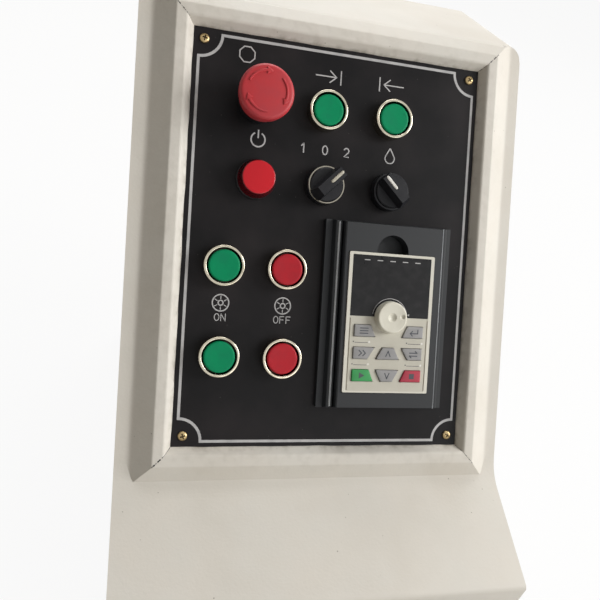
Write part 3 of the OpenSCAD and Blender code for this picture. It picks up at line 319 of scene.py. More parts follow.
finishes = {"creamEnamel": creamEnamel(), "plate": satinPlate(), "lamp": lampLens(), "keypad": keypadShell()}
metals = {  # face, dull patches, roughness, grip of the grain
    "brightPlating": ("nickelPlatedBrass", "#dcd5c3", "#968c77", 0.14, 0.02),  # polished, then plated
    "yellowZinc": ("yellowZincSteel", "#b7a27a", "#8a7650", 0.34),
    "zinc": ("zincSteel", "#c3c6c8", "#a3a7aa", 0.4),
    "trim": ("nickelTrim", "#a39e92", "#827c70", 0.3),
    "aluminium": ("extrudedAluminium", "#c8cacb", "#aeb1b3", 0.38),
}
plastics = {  # face, worn tone, roughness, gloss, size of the worn clouds, grain and its grip
    "green": ("greenCapAbs", "#0c8b5c", "#12825a", 0.4, 0.12),
    "red": ("redCapAbs", "#b4242f", "#a62630", 0.4, 0.2),
    "estop": ("redMushroomNylon", "#b42c32", "#a3323a", 0.5, 0.5, 16, 1.2),
    "black": ("blackNylon", "#17171a", "#212124", 0.4, 0.25),
    "white": ("whiteAbs", "#e4e2dc", "#d2cfc6", 0.4),
    "pointer": ("greyedAbs", "#c3beaf", "#aaa494", 0.4),
    "driveGrey": ("driveGreyAbs", "#121416", "#17191c", 0.55, 0.4, 30, 0.9, 0.3),
    "dial": ("dialCreamAbs", "#d8d5c7", "#ccc8b8", 0.42, 0.5, 20),
    # painted highlights: pale grey beads on the drive's dark edges
    "glint": ("paintedEdgeHighlightAbs", "#8c9094", "#82868a", 0.2),
    "ribHighlight": ("paintedRibHighlightAbs", "#c8ccd0", "#b4b8bc", 0.25),  # painted highlight, paler for the rib's edge that lies in shade
    "keyGrey": ("keyGreySilicone", "#939292", "#898888", 0.5),
    "keyGreen": ("keyGreenSilicone", "#2d904b", "#298244", 0.5),
    "keyRed": ("keyRedSilicone", "#a9273d", "#982438", 0.5),
    "window": ("smokedAcrylic", "#141415", "#1e1d1e", 0.3, 0.25, 6, 4.0, 0.03),  # cast and polished
    "ink": ("paleScreenInk", "#b9b8b8", "#a5a4a5", 0.55),  # printed through a mesh, flat and dull
    "darkInk": ("darkScreenInk", "#3c3e44", "#4a4c53", 0.55),
    "board": ("greenBoardResin", "#2c6a44", "#285f3e", 0.4),
    "rubber": ("edgingRubber", "#1d1d1d", "#292828", 0.7),
    "mitreShade": ("paintedCrackShade", "#1d1d1d", "#292828", 0.7),  # painted shade: dark matt strip standing in for the shade inside the open joints
    "relay": ("relayGreyAbs", "#d6d6d1", "#c9c9c3", 0.45),
    "varnish": ("varnishedCore", "#56463a", "#46382e", 0.4),  # laminations dipped in varnish
}
finishes.update({finish: platedMetal(*values) for finish, values in metals.items()})
finishes.update({finish: mouldedPlastic(*values) for finish, values in plastics.items()})

dressed = {
    "creamEnamel": ["base_plate", "side_panel_left", "side_panel_right", "wrap_sheet", "rear_cover",
                    "panel_frame"],
    "plate": ["control_plate"],
    "yellowZinc": ["plate_screws", "standoffs"],
    "trim": ["mode_trim"],
    "zinc": ["cover_screws", "drive_brackets", "mounting_plate", "mounting_rails"],
    "aluminium": ["heat_sink"],
    "brightPlating": ["button_bezels"],
    "green": ["stroke_right_cap", "stroke_left_cap", "upper_start_cap", "lower_start_cap"],
    "red": ["upper_stop_cap", "lower_stop_cap"],
    "estop": ["estop_head"],
    "lamp": ["lamp_lens"],
    "black": ["lock_nuts", "contact_blocks", "estop_collar", "estop_stem", "lamp_body", "mode_ring",
              "mode_knob", "pump_ring", "pump_knob", "contactors"],
    "white": ["mode_pointer", "pump_pointer"],
    "driveGrey": ["drive_front", "drive_body"],
    "keypad": ["keypad_case"],
    "dial": ["speed_knob"],
    "keyGrey": ["key_program", "key_function", "key_jog", "key_up", "key_direction", "key_down"],
    "keyGreen": ["key_run"],
    "keyRed": ["key_stop"],
    "window": ["display_window"],
    "board": ["keypad_board"],
    "rubber": ["cable_edging"],
    "relay": ["circuit_breaker", "overload_relay", "terminal_blocks"],
    "varnish": ["control_transformer"],
}
for finish, names in dressed.items():
    for name in names:
        nodes[name].data.materials.clear()
        nodes[name].data.materials.append(finishes[finish])
print("materials:", len(finishes))

# raised frame: bevel, crest with worn edges and cove, four mitred lengths over the plain solid
# darkening on the profile: light grime on the edges, and at the bevel's foot dust with painted shade in the
# inner corner
moulding = {"bevel": 4.8, "crest": 8.0, "seat": -3.0, "edge": 0.8, "innerRound": 3.0, "outerRound": 3.2,
            "slope": 15.8, "hollow": 6.0, "corner": 10.0, "coveEnd": 10.0, "footPast": 3.2, "footSunk": 0.6,
            "backLow": 0.1, "gap": 0.35, "gapEnd": 1.5, "gapFade": 3.0, "wander": 0.14, "shift": 9,
            "grimeAndShade": {"foot": 0.45, "inner": 0.1, "outer": 0.08, "cove": 0.05},
            "steps": 8, "bevelSteps": 4, "lengths": 120}
frameLow, frameHigh = (np.array(corner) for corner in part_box("panel_frame"))
crestH = nodeSpan("panel_frame")[1][2]
outerX = (frameHigh[0] - frameLow[0]) / 2 / mm
topRise = (frameHigh[2] - panelOrigin[2]) / mm
crestD = moulding["bevel"] + moulding["crest"]  # distances out from the plate's edge
outerD = outerX - halfX
coveFoot = moulding["seat"] + moulding["edge"]


def arcPoints(centre, radius, start, end, steps):
    # points at even angles on a circle, in degrees from start to end
    turn = np.radians(np.linspace(start, end, steps + 1))
    return np.asarray(centre, float) + radius * np.c_[np.cos(turn), np.sin(turn)]


def touchedCorner(before, corner, after, radius):
    # centre of the circle that touches both legs of a corner, on their halving line, and the points it touches
    before, corner, after = (np.asarray(p, float) for p in (before, corner, after))
    legA, legB = unit(before - corner), unit(after - corner)
    half = math.acos(np.clip(legA @ legB, -1, 1)) / 2
    centre = corner + unit(legA + legB) * radius / math.sin(half)
    return centre, corner + legA * radius / math.tan(half), corner + legB * radius / math.tan(half)


def roundCorner(before, corner, after, radius, steps):
    # arc of the given radius that touches both legs of a corner
    centre, start, end = touchedCorner(before, corner, after, radius)
    blend = np.linspace(0, 1, steps + 1)[:, None]
    return centre + radius * unit((start - centre) * (1 - blend) + (end - centre) * blend)


def mouldingProfile(reach, back=None):
    # distance out from the plate and height: bevel, rounded crest, then a slope that hollows out to a flat
    # band, as far as reach, and down to the seat; and the darkening on each point, grime with painted shade at
    # the foot
    steps, grimeAndShade = moulding["steps"], moulding["grimeAndShade"]
    foot, edge = (crestD + moulding["slope"], coveFoot), (crestD, crestH)
    inner = roundCorner((0, 0), (moulding["bevel"], crestH), edge, moulding["innerRound"], steps)
    outer = roundCorner((moulding["bevel"], crestH), edge, foot, moulding["outerRound"], steps)
    hollow = roundCorner(edge, foot, (outerD, coveFoot), moulding["hollow"], steps)
    line = np.vstack([outer[-1:], hollow, [[outerD, coveFoot]]])
    span = np.linspace(outer[-1][0], reach, 3 * steps)[1:]
    bevel = np.linspace([0.0, 0.0], inner[0], moulding["bevelSteps"] + 1)[:-1]
    cove = np.c_[span, np.interp(span, *line.T)]
    seat = [[reach if back is None else back, moulding["seat"]]]
    held = [[grimeAndShade["foot"]], np.linspace(grimeAndShade["foot"], grimeAndShade["inner"], len(bevel)),
            np.full(len(inner), grimeAndShade["inner"]), np.full(len(outer), grimeAndShade["outer"]),
            np.linspace(grimeAndShade["cove"], 0.0, len(span)), [0.0]]
    return np.vstack([[[0.0, -moulding["footSunk"]]], bevel, inner, outer, cove, seat]), np.concatenate(held)


def mitreGap(d):
    # the joint is open on the bevel and the crest, and filled on the cove
    return np.clip((crestD + moulding["gapEnd"] - d) / moulding["gapFade"], 0, 1) * moulding["gap"] / 2


def footWave(place, d):
    # hand-laid filler: the bevel's foot wanders in and out along the plate as a sum of three sines, fading to
    # nothing at the crest
    wave = np.sin(place / 8.7) + 0.6 * np.sin(place / 3.9 + 1.3) + 0.4 * np.sin(place / 13.0 + 0.4)
    return moulding["wander"] * wave * np.clip(1 - d / moulding["bevel"], 0, 1)


def topPlaneV(h, z):
    # where the level z above the plate's middle is reached along the slope, at height h
    return (z - h * math.sin(tilt)) / math.cos(tilt)


def sideRail(side):
    # profile drawn along the slope between its mitres, its foot and the rolled top edge
    profile, grimeAndShade = mouldingProfile(outerD)
    d, h = profile.T
    mitre = halfV + d - mitreGap(d)
    rolled = np.clip((halfX + d - outerX + moulding["corner"]) / moulding["corner"], 0, 1)
    level = topRise - moulding["corner"] * (1 - np.sqrt(1 - rolled ** 2))
    top = np.minimum(mitre, topPlaneV(h, level))
    low = np.maximum(-mitre, -(halfV + crestD + moulding["coveEnd"] + moulding["footPast"]))
    capTop = np.where(mitre < topPlaneV(h, level), top, topPlaneV(moulding["seat"], level))
    share = np.linspace(0, 1, moulding["lengths"])[:, None]
    v = np.vstack([low, low + (top - low) * share, capTop])
    floor = np.full((1, len(h)), moulding["seat"])
    height = np.vstack([floor, np.broadcast_to(h, (moulding["lengths"], len(h))), floor])
    grid = np.stack([side * (halfX + d + footWave(v, d)), v, height], -1)
    return skin(grid, side < 0), np.broadcast_to(grimeAndShade, v.shape)


def endRail(end):
    # profile drawn across, between the mitres, for the top (end = 1) or the bottom (end = -1) length
    reach, back = crestD + moulding["coveEnd"], None
    if end > 0:
        back = topPlaneV(moulding["seat"], topRise - moulding["backLow"]) - halfV
    else:
        reach += moulding["footPast"]
    profile, grimeAndShade = mouldingProfile(reach, back)
    d, h = profile.T
    half = halfX + np.minimum(d, reach) - mitreGap(d)
    x = half * np.linspace(-1, 1, moulding["lengths"])[:, None]
    v = end * (halfV + d + footWave(x + moulding["shift"] * end, d))
    grid = np.stack([x, v, np.broadcast_to(h, x.shape)], -1)
    return skin(grid, end > 0), np.broadcast_to(grimeAndShade, x.shape)


rails = [sideRail(-1), sideRail(1), endRail(1), endRail(-1)]
addPiece("panelMoulding", [part for part, grimeAndShade in rails], "creamEnamel",
         replaced=["panel_frame"], grimeAndShade=np.concatenate([grimeAndShade.ravel() for part, grimeAndShade in rails]))

# filler fillet in the valley between the slope and the apron
fillet = {"touch": 13.0, "footGap": 1.3, "apron": 16.2, "leg": 40, "lift": 0.05, "steps": 12}


def footFillet():
    # arc that touches the frame's outer edge level and the apron, carried across the console, its ends
    # closed on the valley
    lean = math.radians(fillet["apron"]) + tilt
    down = np.array([-math.sin(lean), math.cos(lean)])  # down the apron, in v and h
    foot = np.array([-(halfV + crestD + moulding["coveEnd"] + fillet["footGap"]), moulding["seat"]])
    valley = foot + down * moulding["edge"] / down[1]
    radius = fillet["touch"] * math.tan(math.acos(down[0]) / 2)
    leg = fillet["leg"]
    arc = roundCorner(valley + [leg, 0], valley, valley + leg * down, radius, fillet["steps"])
    arc = arc + [0.0, fillet["lift"]]
    x = np.array([-outerX, -outerX, 0.0, outerX, outerX])
    closed = np.array([1.0, 0.0, 0.0, 0.0, 1.0])[:, None, None]
    section = arc[None] * (1 - closed) + valley * closed
    grid = np.concatenate([np.broadcast_to(x[:, None, None], section.shape[:2] + (1,)), section], -1)
    return skin(grid, True)


addPiece("footFillet", [footFillet()], "creamEnamel", sharp=60)

# paint cracked open along the mitres, in dashes, painted dark as the shade inside the cracks
crack = {"from": 0.5, "to": 13.4, "width": 0.6, "lift": 0.05, "steps": 80,
         "corners": ((-1, -1, 1.0), (1, -1, 0.45), (1, 1, 0.8), (-1, 1, 0.6))}


def mitreCrack(sideX, sideV, share):
    # strip on the mitre line whose width swells and closes as a sum of sines, laid on the moulding's profile
    profile = mouldingProfile(outerD)[0][1:]
    d = np.linspace(crack["from"], crack["to"], crack["steps"])
    swell = 0.45 + 0.5 * np.sin(d * 1.9 + sideX) + 0.4 * np.sin(d * 4.7 + sideV) + 0.2 * np.sin(d * 9.1)
    width = crack["width"] * share * np.clip(swell, 0, 1)[:, None]
    across = np.array([-sideV, sideX]) / math.sqrt(2) * width
    path = np.c_[sideX * (halfX + d), sideV * (halfV + d)]
    height = np.interp(d, *profile.T) + crack["lift"]
    return skin(onPanel(np.stack([path + across, path - across], 1), height[:, None]))


addPiece("mitreCracks", [mitreCrack(*corner) for corner in crack["corners"]], "mitreShade")
print("frame moulding made")

# turned pieces
turnSteps = 96


def spun(profile, steps=turnSteps):
    # r, h points turned about the panel's normal: x and v are r times the cosine and sine of even angles, and
    # the heights come second
    profile = np.asarray(profile, float)
    turn = np.linspace(0, 2 * np.pi, steps, endpoint=False)
    r, h = profile[:, :1], profile[:, 1:]
    return np.stack([r * np.cos(turn), r * np.sin(turn)], -1), h + 0 * turn


def lathe(profile, spot, steps=turnSteps):
    # profile from the outside up to the middle, turned at a spot
    flat, h = spun(profile, steps)
    return skin(onPanel(spot + flat, h), wrap=True)


def smoothFall(distance, radius):
    # 1 in the middle of a round hollow, 0 from its rim outwards, falling by the square of the distance
    return np.clip(1 - (distance / radius) ** 2, 0, 1)


def turnedNode(name):
    # height of each corner of a turned node, its distance from the node's middle, and the lowest ring's height
    # and radius
    points = nodePoints(name)
    height, radius = points[:, 2], np.hypot(*(points[:, :2] - nodeSpot(name)).T)
    return height, radius, height.min(), radius[height < height.min() + 0.01].max()


bezel = {"outer": 14.75, "inner": 12.4, "barrel": 11.1, "bore": 8.0, "height": 9.5, "outerRound": 0.9,
         "innerRound": 0.5, "lip": 12.8, "lead": 1.6, "pocket": 1.4, "dirtAndShade": 0.97, "steps": 8}


def bezelProfile(low):
    # barrel behind the plate, upright wall, rim rounded over both ways, and a lead-in and the cap's pocket
    # painted almost black as painted shade with some dirt; and that darkening on each point
    top, bore, steps = bezel["height"], bezel["bore"], bezel["steps"]
    edge, lip = bezel["outerRound"], bezel["innerRound"]
    outer = arcPoints((bezel["outer"] - edge, top - edge), edge, 0, 90, steps)
    inner = arcPoints((bezel["lip"] + lip, top - lip), lip, 90, 180, steps)
    shank = [(bore, low), (bezel["barrel"], low), (bezel["barrel"], 0), (bezel["outer"], 0)]
    pocket = [(bezel["inner"], top - bezel["lead"]), (bezel["inner"], bezel["pocket"]), (bore, bezel["pocket"]),
              (bore, low)]
    profile = np.vstack([shank, outer, inner, pocket])
    return profile, np.where(np.arange(len(profile)) < len(profile) - len(pocket), 0.0, bezel["dirtAndShade"])


capNames = ["stroke_right_cap", "stroke_left_cap", "upper_start_cap", "upper_stop_cap", "lower_start_cap",
            "lower_stop_cap"]
bezelLine, bezelDirtAndShade = bezelProfile(nodeSpan("button_bezels")[0][2])
addPiece("buttonBezels", [lathe(bezelLine, nodeSpot(name)) for name in capNames], "brightPlating",
         replaced=["button_bezels"],
         grimeAndShade=np.tile(np.repeat(bezelDirtAndShade, turnSteps), len(capNames)))

cap = {"edge": 1.3, "inset": 0.1, "dish": 0.2, "rimBand": 0.3, "rings": 8, "steps": 6}


def capProfile(name):
    # plunger behind, then the cap with a full round edge and a faintly dished face
    height, radius, low, plunger = turnedNode(name)
    top, under = height.max(), height[radius > radius.max() - cap["rimBand"]].min()
    rim, edge = radius.max() - cap["inset"], cap["edge"]
    over = arcPoints((rim - edge, top - edge), edge, 0, 90, cap["steps"])
    face = np.linspace(rim - edge, 0, cap["rings"])[1:]
    dish = top - cap["dish"] * smoothFall(face, rim - edge)
    return np.vstack([[(0, low), (plunger, low), (plunger, under), (rim, under)], over, np.c_[face, dish]])


capColor = {"start": "green", "stroke": "green", "stop": "red"}
for name in capNames:
    color = next(color for word, color in capColor.items() if word in name)
    addPiece(name.replace("_cap", "_button"), [lathe(capProfile(name), nodeSpot(name))], color,
             name, [name])

mushroom = {"rim": 19.3, "waist": 16.5, "low": 14.0, "top": 33.0, "face": 16.4, "drop": 0.5, "shoulder": 2.9,
            "hollow": 15.95, "chamfer": 1.5, "roof": 22.0, "neck": 5.05, "neckTop": 29.3, "over": 88,
            "rings": 14, "steps": 10, "turns": 128}
estopSpot = nodeSpot("estop_head")


def faceHeight(r):
    # nearly flat face that falls by the square of the radius
    return mushroom["top"] - mushroom["drop"] * (r / mushroom["face"]) ** 2


def mushroomProfile():
    # hollow underside, drawn-in waist, flank that swells to the rim as a quarter sine, full round shoulder and
    # nearly flat face
    rim, low, edge, steps = (mushroom[name] for name in ("rim", "low", "shoulder", "steps"))
    roof, neck, hollow, cut = (mushroom[name] for name in ("roof", "neck", "hollow", "chamfer"))
    shoulder = arcPoints((rim - edge, faceHeight(rim - edge) - edge), edge, 0, mushroom["over"], steps)
    swell = np.linspace(0, 1, steps, endpoint=False)
    flank = np.c_[mushroom["waist"] + (rim - mushroom["waist"]) * np.sin(swell * np.pi / 2),
                  low + (shoulder[0][1] - low) * swell]
    face = np.linspace(rim - edge, 0, mushroom["rings"])[1:]
    under = [(0, mushroom["neckTop"]), (neck, mushroom["neckTop"]), (neck, roof), (hollow - cut, roof),
             (hollow, roof - cut), (hollow, low)]
    return np.vstack([under, flank, shoulder, np.c_[face, faceHeight(face)]])


arrow = {"radius": 14.0, "span": 80.0, "heads": (76.0, -36.0, 192.0), "tail": 1.3, "shaft": 2.1, "head": 5.4,
         "headSpan": 17.0, "lift": 0.7, "steps": 40}


def raisedArrow(headAt):
    # curved arrow laid on the face: along an arc it widens from tail to shaft and closes to a point,
    # and across it rises with a flat-topped bump
    along = np.linspace(0, 1, arrow["steps"])
    neck = 1 - arrow["headSpan"] / arrow["span"]
    along = np.sort(np.append(along, [neck - 1e-4, neck + 1e-4]))
    width = np.where(along < neck, arrow["tail"] + (arrow["shaft"] - arrow["tail"]) * along / neck,
                     arrow["head"] * (1 - along) / (1 - neck))
    across = np.array([-1.0, -0.96, -0.8, -0.6, 0.0, 0.6, 0.8, 0.96, 1.0])
    bump = np.array([-0.2, 0.25, 0.85, 1.0, 1.0, 1.0, 0.85, 0.25, -0.2]) * arrow["lift"]
    turn = np.radians(headAt + arrow["span"] * (1 - along))[:, None]
    r = arrow["radius"] + across * width[:, None] / 2
    fade = np.minimum(width / arrow["tail"], 1)[:, None]
    flat = estopSpot + np.stack([r * np.cos(turn), r * np.sin(turn)], -1)
    return skin(onPanel(flat, faceHeight(r) + bump * fade), True)


addPiece("estopMushroom", [lathe(mushroomProfile(), estopSpot, mushroom["turns"])], "estop",
         "estop_head", ["estop_head"])
addPiece("estopArrows", [raisedArrow(head) for head in arrow["heads"]], "estop",
         "estop_head", sharp=50)

lens = {"foot": 14.2, "collar": 3.0, "top": 12.2, "side": 12.3, "round": 1.3, "dome": 0.3, "rings": 8,
        "steps": 8}


def lensProfile():
    # plug in its body, drafted skirt, rounded edge and slightly domed face
    low, plug = turnedNode("lamp_lens")[2:]
    foot, collar, side = lens["foot"], lens["collar"], lens["side"]
    edge = roundCorner((foot, collar), (lens["top"], side), (0, side), lens["round"], lens["steps"])
    face = np.linspace(edge[-1][0], 0, lens["rings"])[1:]
    dome = side + lens["dome"] * smoothFall(face, edge[-1][0])
    return np.vstack([[(0, low), (plug, low), (plug, collar), (foot, collar)], edge, np.c_[face, dome]])


addPiece("lampLens", [lathe(lensProfile(), nodeSpot("lamp_lens"))], "lamp", replaced=["lamp_lens"])

pointer = {"sink": 0.3, "rise": 0.35, "blunt": 9, "across": 9, "along": 40}


def pointerBar(name):
    # rounded bar along the node's own long direction: half width follows a blunt oval, the root of 1 less a
    # high power of the place along it; height is a dome flattened by the fourth power across, its edges sunk
    points = nodePoints(name)
    middle = points.mean(0)
    way = np.linalg.svd(points[:, :2] - middle[:2], full_matrices=False)[2][0]
    side = np.array([-way[1], way[0]])
    reach, half = (np.abs((points[:, :2] - middle[:2]) @ axis).max() for axis in (way, side))
    u = np.sin(np.linspace(-np.pi / 2, np.pi / 2, pointer["along"]))[:, None]
    w = np.linspace(-1, 1, pointer["across"])[None, :]
    oval = np.clip(1 - np.abs(u) ** pointer["blunt"], 0, 1)
    top = points[:, 2].max() + pointer["rise"] * (1 - w ** 4) * oval - pointer["sink"] * w ** 8
    flat = middle[:2] + u[..., None] * reach * way + (w * half * oval ** 0.5)[..., None] * side
    floor = onPanel(flat, points[:, 2].min())
    return [skin(np.concatenate([onPanel(flat, top), floor[:, ::-1]], 1), wrap=True)]


for name, finish in (("mode_pointer", "pointer"), ("pump_pointer", "white")):
    addPiece(name.replace("_pointer", "Pointer"), pointerBar(name), finish,
             name.replace("pointer", "knob"), [name], sharp=60)

dial = {"foot": 13.0, "shoulder": 11.6, "edge": 1.2, "dish": 0.5, "hub": 3.4, "hubDeep": 1.5, "dot": 1.9,
        "dotAt": (7.9, 0.9), "dotDeep": 1.2, "steps": 8, "rings": 40, "turns": 120}


def speedDial():
    # drafted side, rounded edge and dished top, less a round hollow at the hub and one at the dot
    spot = nodeSpot("speed_knob")
    low, high = (corner[2] for corner in nodeSpan("speed_knob"))
    edge = roundCorner((dial["foot"], low), (dial["shoulder"], high), (0, high), dial["edge"], dial["steps"])
    rings = np.linspace(edge[-1][0], 0, dial["rings"])[1:]
    face = np.c_[rings, high - dial["dish"] * smoothFall(rings, edge[-1][0])]
    under = [(0, low), (dial["foot"], low)]
    flat, h = spun(np.vstack([under, edge, face]), dial["turns"])
    for name, middle in (("hub", (0, 0)), ("dot", dial["dotAt"])):
        away = np.linalg.norm(flat - middle, axis=-1)
        h[len(under):] -= dial[name + "Deep"] * smoothFall(away, dial[name])[len(under):]
    return skin(onPanel(spot + flat, h), wrap=True)


addPiece("speedDial", [speedDial()], "dial", "speed_knob", ["speed_knob"], sharp=50)

# beads painted pale as highlights on the drive's edges, and the shoulder in one of its grooves
glint = {"ribIn": 8.8, "ribTop": 10.0, "ribRadius": 0.9, "faceIn": 12.4, "faceTop": 16.0, "faceRadius": 0.48,
         "endIn": 1.5, "endLong": 0.5, "steps": 8}
shoulder = {"near": 9.4, "far": 11.1, "top": 9.9, "round": 0.4, "foot": 7.0}
driveLow, driveHigh = nodeSpan("drive_front")


def halfRound(x, top, radius):
    # half circle whose middle lies half a radius under the top
    return arcPoints((x, top - radius * 0.5), radius, 0, 180, glint["steps"])


def shoulderSection():
    # upright strip with its outer edge rounded by a quarter circle
    far, near = driveLow[0] + shoulder["far"], driveLow[0] + shoulder["near"]
    top, foot, edge = shoulder["top"], shoulder["foot"], shoulder["round"]
    over = arcPoints((far - edge, top - edge), edge, 0, 90, glint["steps"])
    return np.vstack([[(far, foot)], over, [(near, top), (near, foot)]])


def carriedUp(section):
    # section carried up the drive's side and drawn in to its foot at both ends
    start, end = driveLow[1] + glint["endIn"], driveHigh[1] - glint["endIn"]
    v = np.array([start, start + glint["endLong"], end - glint["endLong"], end])
    size = np.array([0.0, 1.0, 1.0, 0.0])[:, None, None]
    foot = np.array([section[:, 0].mean(), section[:, 1].min()])
    rings = foot + (section - foot) * size
    grid = np.stack([rings[..., 0], np.broadcast_to(v[:, None], rings.shape[:2]), rings[..., 1]], -1)
    return skin(grid, flip=True, wrap=True)


# the two beads are painted pale as highlights
for name, section, finish in (
        ("ribGlint", halfRound(driveLow[0] + glint["ribIn"], glint["ribTop"], glint["ribRadius"]), "ribHighlight"),
        ("faceGlint", halfRound(driveHigh[0] - glint["faceIn"], glint["faceTop"], glint["faceRadius"]),
         "glint"),
        ("ribShoulder", shoulderSection(), "driveGrey")):
    addPiece(name, [carriedUp(section)], finish, sharp=60)

screw = {"shank": 1.9, "flat": 0.5, "slotHalf": 0.42, "slotReach": 1.9, "slotDeep": 1.1, "soft": 0.14,
         "dirtAndShade": 0.85, "turns": (18, 63, 40, 75), "rings": 26}


def crossCut(a, b):
    # 1 inside one bar of the cross, 0 outside, with a straight fall over the soft edge
    side, end = (np.clip((half - np.abs(way)) / screw["soft"] + 0.5, 0, 1)
                 for half, way in ((screw["slotHalf"], a), (screw["slotReach"], b)))
    return side * end


def crossScrew(spot, low, headR, headTop, turnBy):
    # shank, and a head domed as the root of 1 less the radius squared, with a turned cross taken off its height
    rings = np.linspace(headR, 0, screw["rings"])
    dome = screw["flat"] + (headTop - screw["flat"]) * np.sqrt(np.clip(1 - (rings / headR) ** 2, 0, 1))
    under = [(0, low), (screw["shank"], low), (screw["shank"], 0), (headR, 0)]
    flat, h = spun(np.vstack([under, np.c_[rings, dome]]))
    cos, sin = math.cos(math.radians(turnBy)), math.sin(math.radians(turnBy))
    across, along = flat @ [cos, sin], flat @ [-sin, cos]
    cut = np.maximum(crossCut(across, along), crossCut(along, across))
    cut[:len(under)] = 0
    # the cross slots are painted dark as dirt and painted shade
    return skin(onPanel(spot + flat, h - screw["slotDeep"] * cut), wrap=True), cut * screw["dirtAndShade"]


def plateScrews():
    # one screw in each corner of the plate, as the node's own corners give it
    points = nodePoints("plate_screws")
    made = []
    for x, v, turnBy in zip((-1, 1, 1, -1), (-1, -1, 1, 1), screw["turns"]):
        corner = points[(points[:, 0] * x > 0) & (points[:, 1] * v > 0)]
        low, high = corner.min(0), corner.max(0)
        made.append(crossScrew((low[:2] + high[:2]) / 2, low[2], (high[0] - low[0]) / 2, high[2], turnBy))
    return made


screws = plateScrews()
addPiece("plateScrews", [part for part, cut in screws], "yellowZinc",
         replaced=["plate_screws"], grimeAndShade=np.concatenate([cut.ravel() for part, cut in screws]), sharp=60)
print("turned pieces made")

# keypad keys: a rounded outline sinks in as it rises over the edge
key = {"corner": 0.9, "edge": 0.55, "skirt": 2.4, "cornerSteps": 5, "edgeSteps": 4, "crown": 0.15}
keySlot = {"keyGrey": "key_grey", "keyGreen": "key_green", "keyRed": "key_red"}
keyFinish = {name: finish for finish in keySlot for name in dressed[finish]}


def keyOutline(name):
    # centres and outward directions of the rounded outline, from the corners of the node's top face
    points = nodePoints(name)
    top = np.unique(points[points[:, 2] > points[:, 2].max() - 0.01][:, :2].round(3), axis=0)
    middle = top.mean(0)
    top = top[np.argsort(np.arctan2(*(top - middle).T[::-1]))]
    r = key["corner"]
    centres, ways = [], []
    for before, corner, after in zip(np.roll(top, 1, 0), top, np.roll(top, -1, 0)):
        arc = roundCorner(before, corner, after, r, key["cornerSteps"])
        centre = touchedCorner(before, corner, after, r)[0]
        centres.append(np.broadcast_to(centre, arc.shape))
        ways.append((arc - centre) / r)
    return np.vstack(centres), np.vstack(ways), middle


def keyCap(name):
    # rows of the outline: up the skirt, over a round edge, and in to the middle of a faintly crowned top
    centres, ways, middle = keyOutline(name)
    top, low = nodeSpan(name)[1][2], nodeSpan(name)[0][2]
    over = np.radians(np.linspace(0, 90, key["edgeSteps"] + 1))
    inset = np.concatenate([[0.0, 0.0], key["edge"] * (1 - np.cos(over))])[:, None, None]
    height = np.concatenate([[low, top - key["skirt"]], top - key["edge"] * (1 - np.sin(over))])
    rim = centres + (key["corner"] - inset) * ways
    blend = np.array([0.35, 0.7, 1.0])[:, None, None]
    inner = rim[-1] * (1 - blend) + middle * blend
    crown = top + key["crown"] * np.array([0.5, 0.9, 1.0])
    flat = np.concatenate([np.broadcast_to(middle, rim[:1].shape), rim, inner])
    height = np.concatenate([[low], height, crown])
    return skin(onPanel(flat, height[:, None]), wrap=True)


for name, finish in keyFinish.items():
    addPiece(name.replace("key_", "keyCap_"), [keyCap(name)], finish, name, [name],
             sharp=50)
print("keys made")

# flat print, laid just over the face that carries it
marks = {"line": 0.9, "fine": 0.6, "bold": 1.08, "lift": 0.06, "overRow1": 27.0, "overRow2": 29.0,
         "overRow3": 38.5, "words": 28.0, "wordSize": 5, "figureSize": 6.5, "figurePitch": 17}


def inkLine(points, width, height=marks["lift"]):
    # strip along x, v points, half its width to either side of the line's direction
    points = np.asarray(points, float)
    ahead = unit(np.gradient(points, axis=0))
    left = np.c_[-ahead[:, 1], ahead[:, 0]] * width / 2
    return skin(onPanel(np.stack([points + left, points - left], 1), height))


def inkStrokes(points, width, height=marks["lift"]):
    # straight strokes between points, each a strip of its own that runs half a width past its ends
    parts = []
    for near, far in zip(points[:-1], points[1:]):
        near, far = np.asarray(near, float), np.asarray(far, float)
        step = unit(far - near) * width / 2
        parts.append(inkLine([near - step, far + step], width, height))
    return parts


def inkDot(centre, radius, height, sides=24):
    # disc from a centre to the rim of a circle
    rim = arcPoints(centre, radius, 0, 360, sides)
    return skin(onPanel(np.stack([np.broadcast_to(centre, rim.shape), rim], 1), height), True)


def inkFill(low, high, height):
    # filled band between a lower and an upper line of points
    return skin(onPanel(np.stack([high, low], 1), height))


def moved(shape, spot, size=1.0):
    # shape times size, set at a spot
    return np.asarray(shape, float) * size + np.asarray(spot, float)


def closedLine(path, width, height=marks["lift"]):
    # mitred strip along a closed path: each point moves out along the mean of its two edge normals
    before, after = path - np.roll(path, 1, 0), np.roll(path, -1, 0) - path
    normals = [unit(np.c_[-edge[:, 1], edge[:, 0]]) for edge in (before, after)]
    mean = unit(normals[0] + normals[1])
    spread = mean / (mean * normals[0]).sum(1, keepdims=True) * width / 2
    return skin(onPanel(np.stack([path + spread, path - spread]), height), True, True)


border = {"inX": 4.3, "inV": 3.95, "arc": 16.5, "width": 2.0, "steps": 10}


def borderPath():
    # rectangle with quarter rounds cut in at its corners
    x, v, r, n = halfX - border["inX"], halfV - border["inV"], border["arc"], border["steps"]
    corners = [((x, v), 270, 180), ((-x, v), 360, 270), ((-x, -v), 90, 0), ((x, -v), 180, 90)]
    return np.vstack([arcPoints(spot, r, start, end, n) for spot, start, end in corners])


def arrowMark(spot, way):
    # arrow against a stop bar
    shapes = [[(-9 * way, 0), (6 * way, 0)], [(2 * way, 4.2), (7 * way, 0), (2 * way, -4.2)],
              [(10.5 * way, 5), (10.5 * way, -5)]]
    return [part for shape in shapes for part in inkStrokes(moved(shape, spot), marks["line"])]


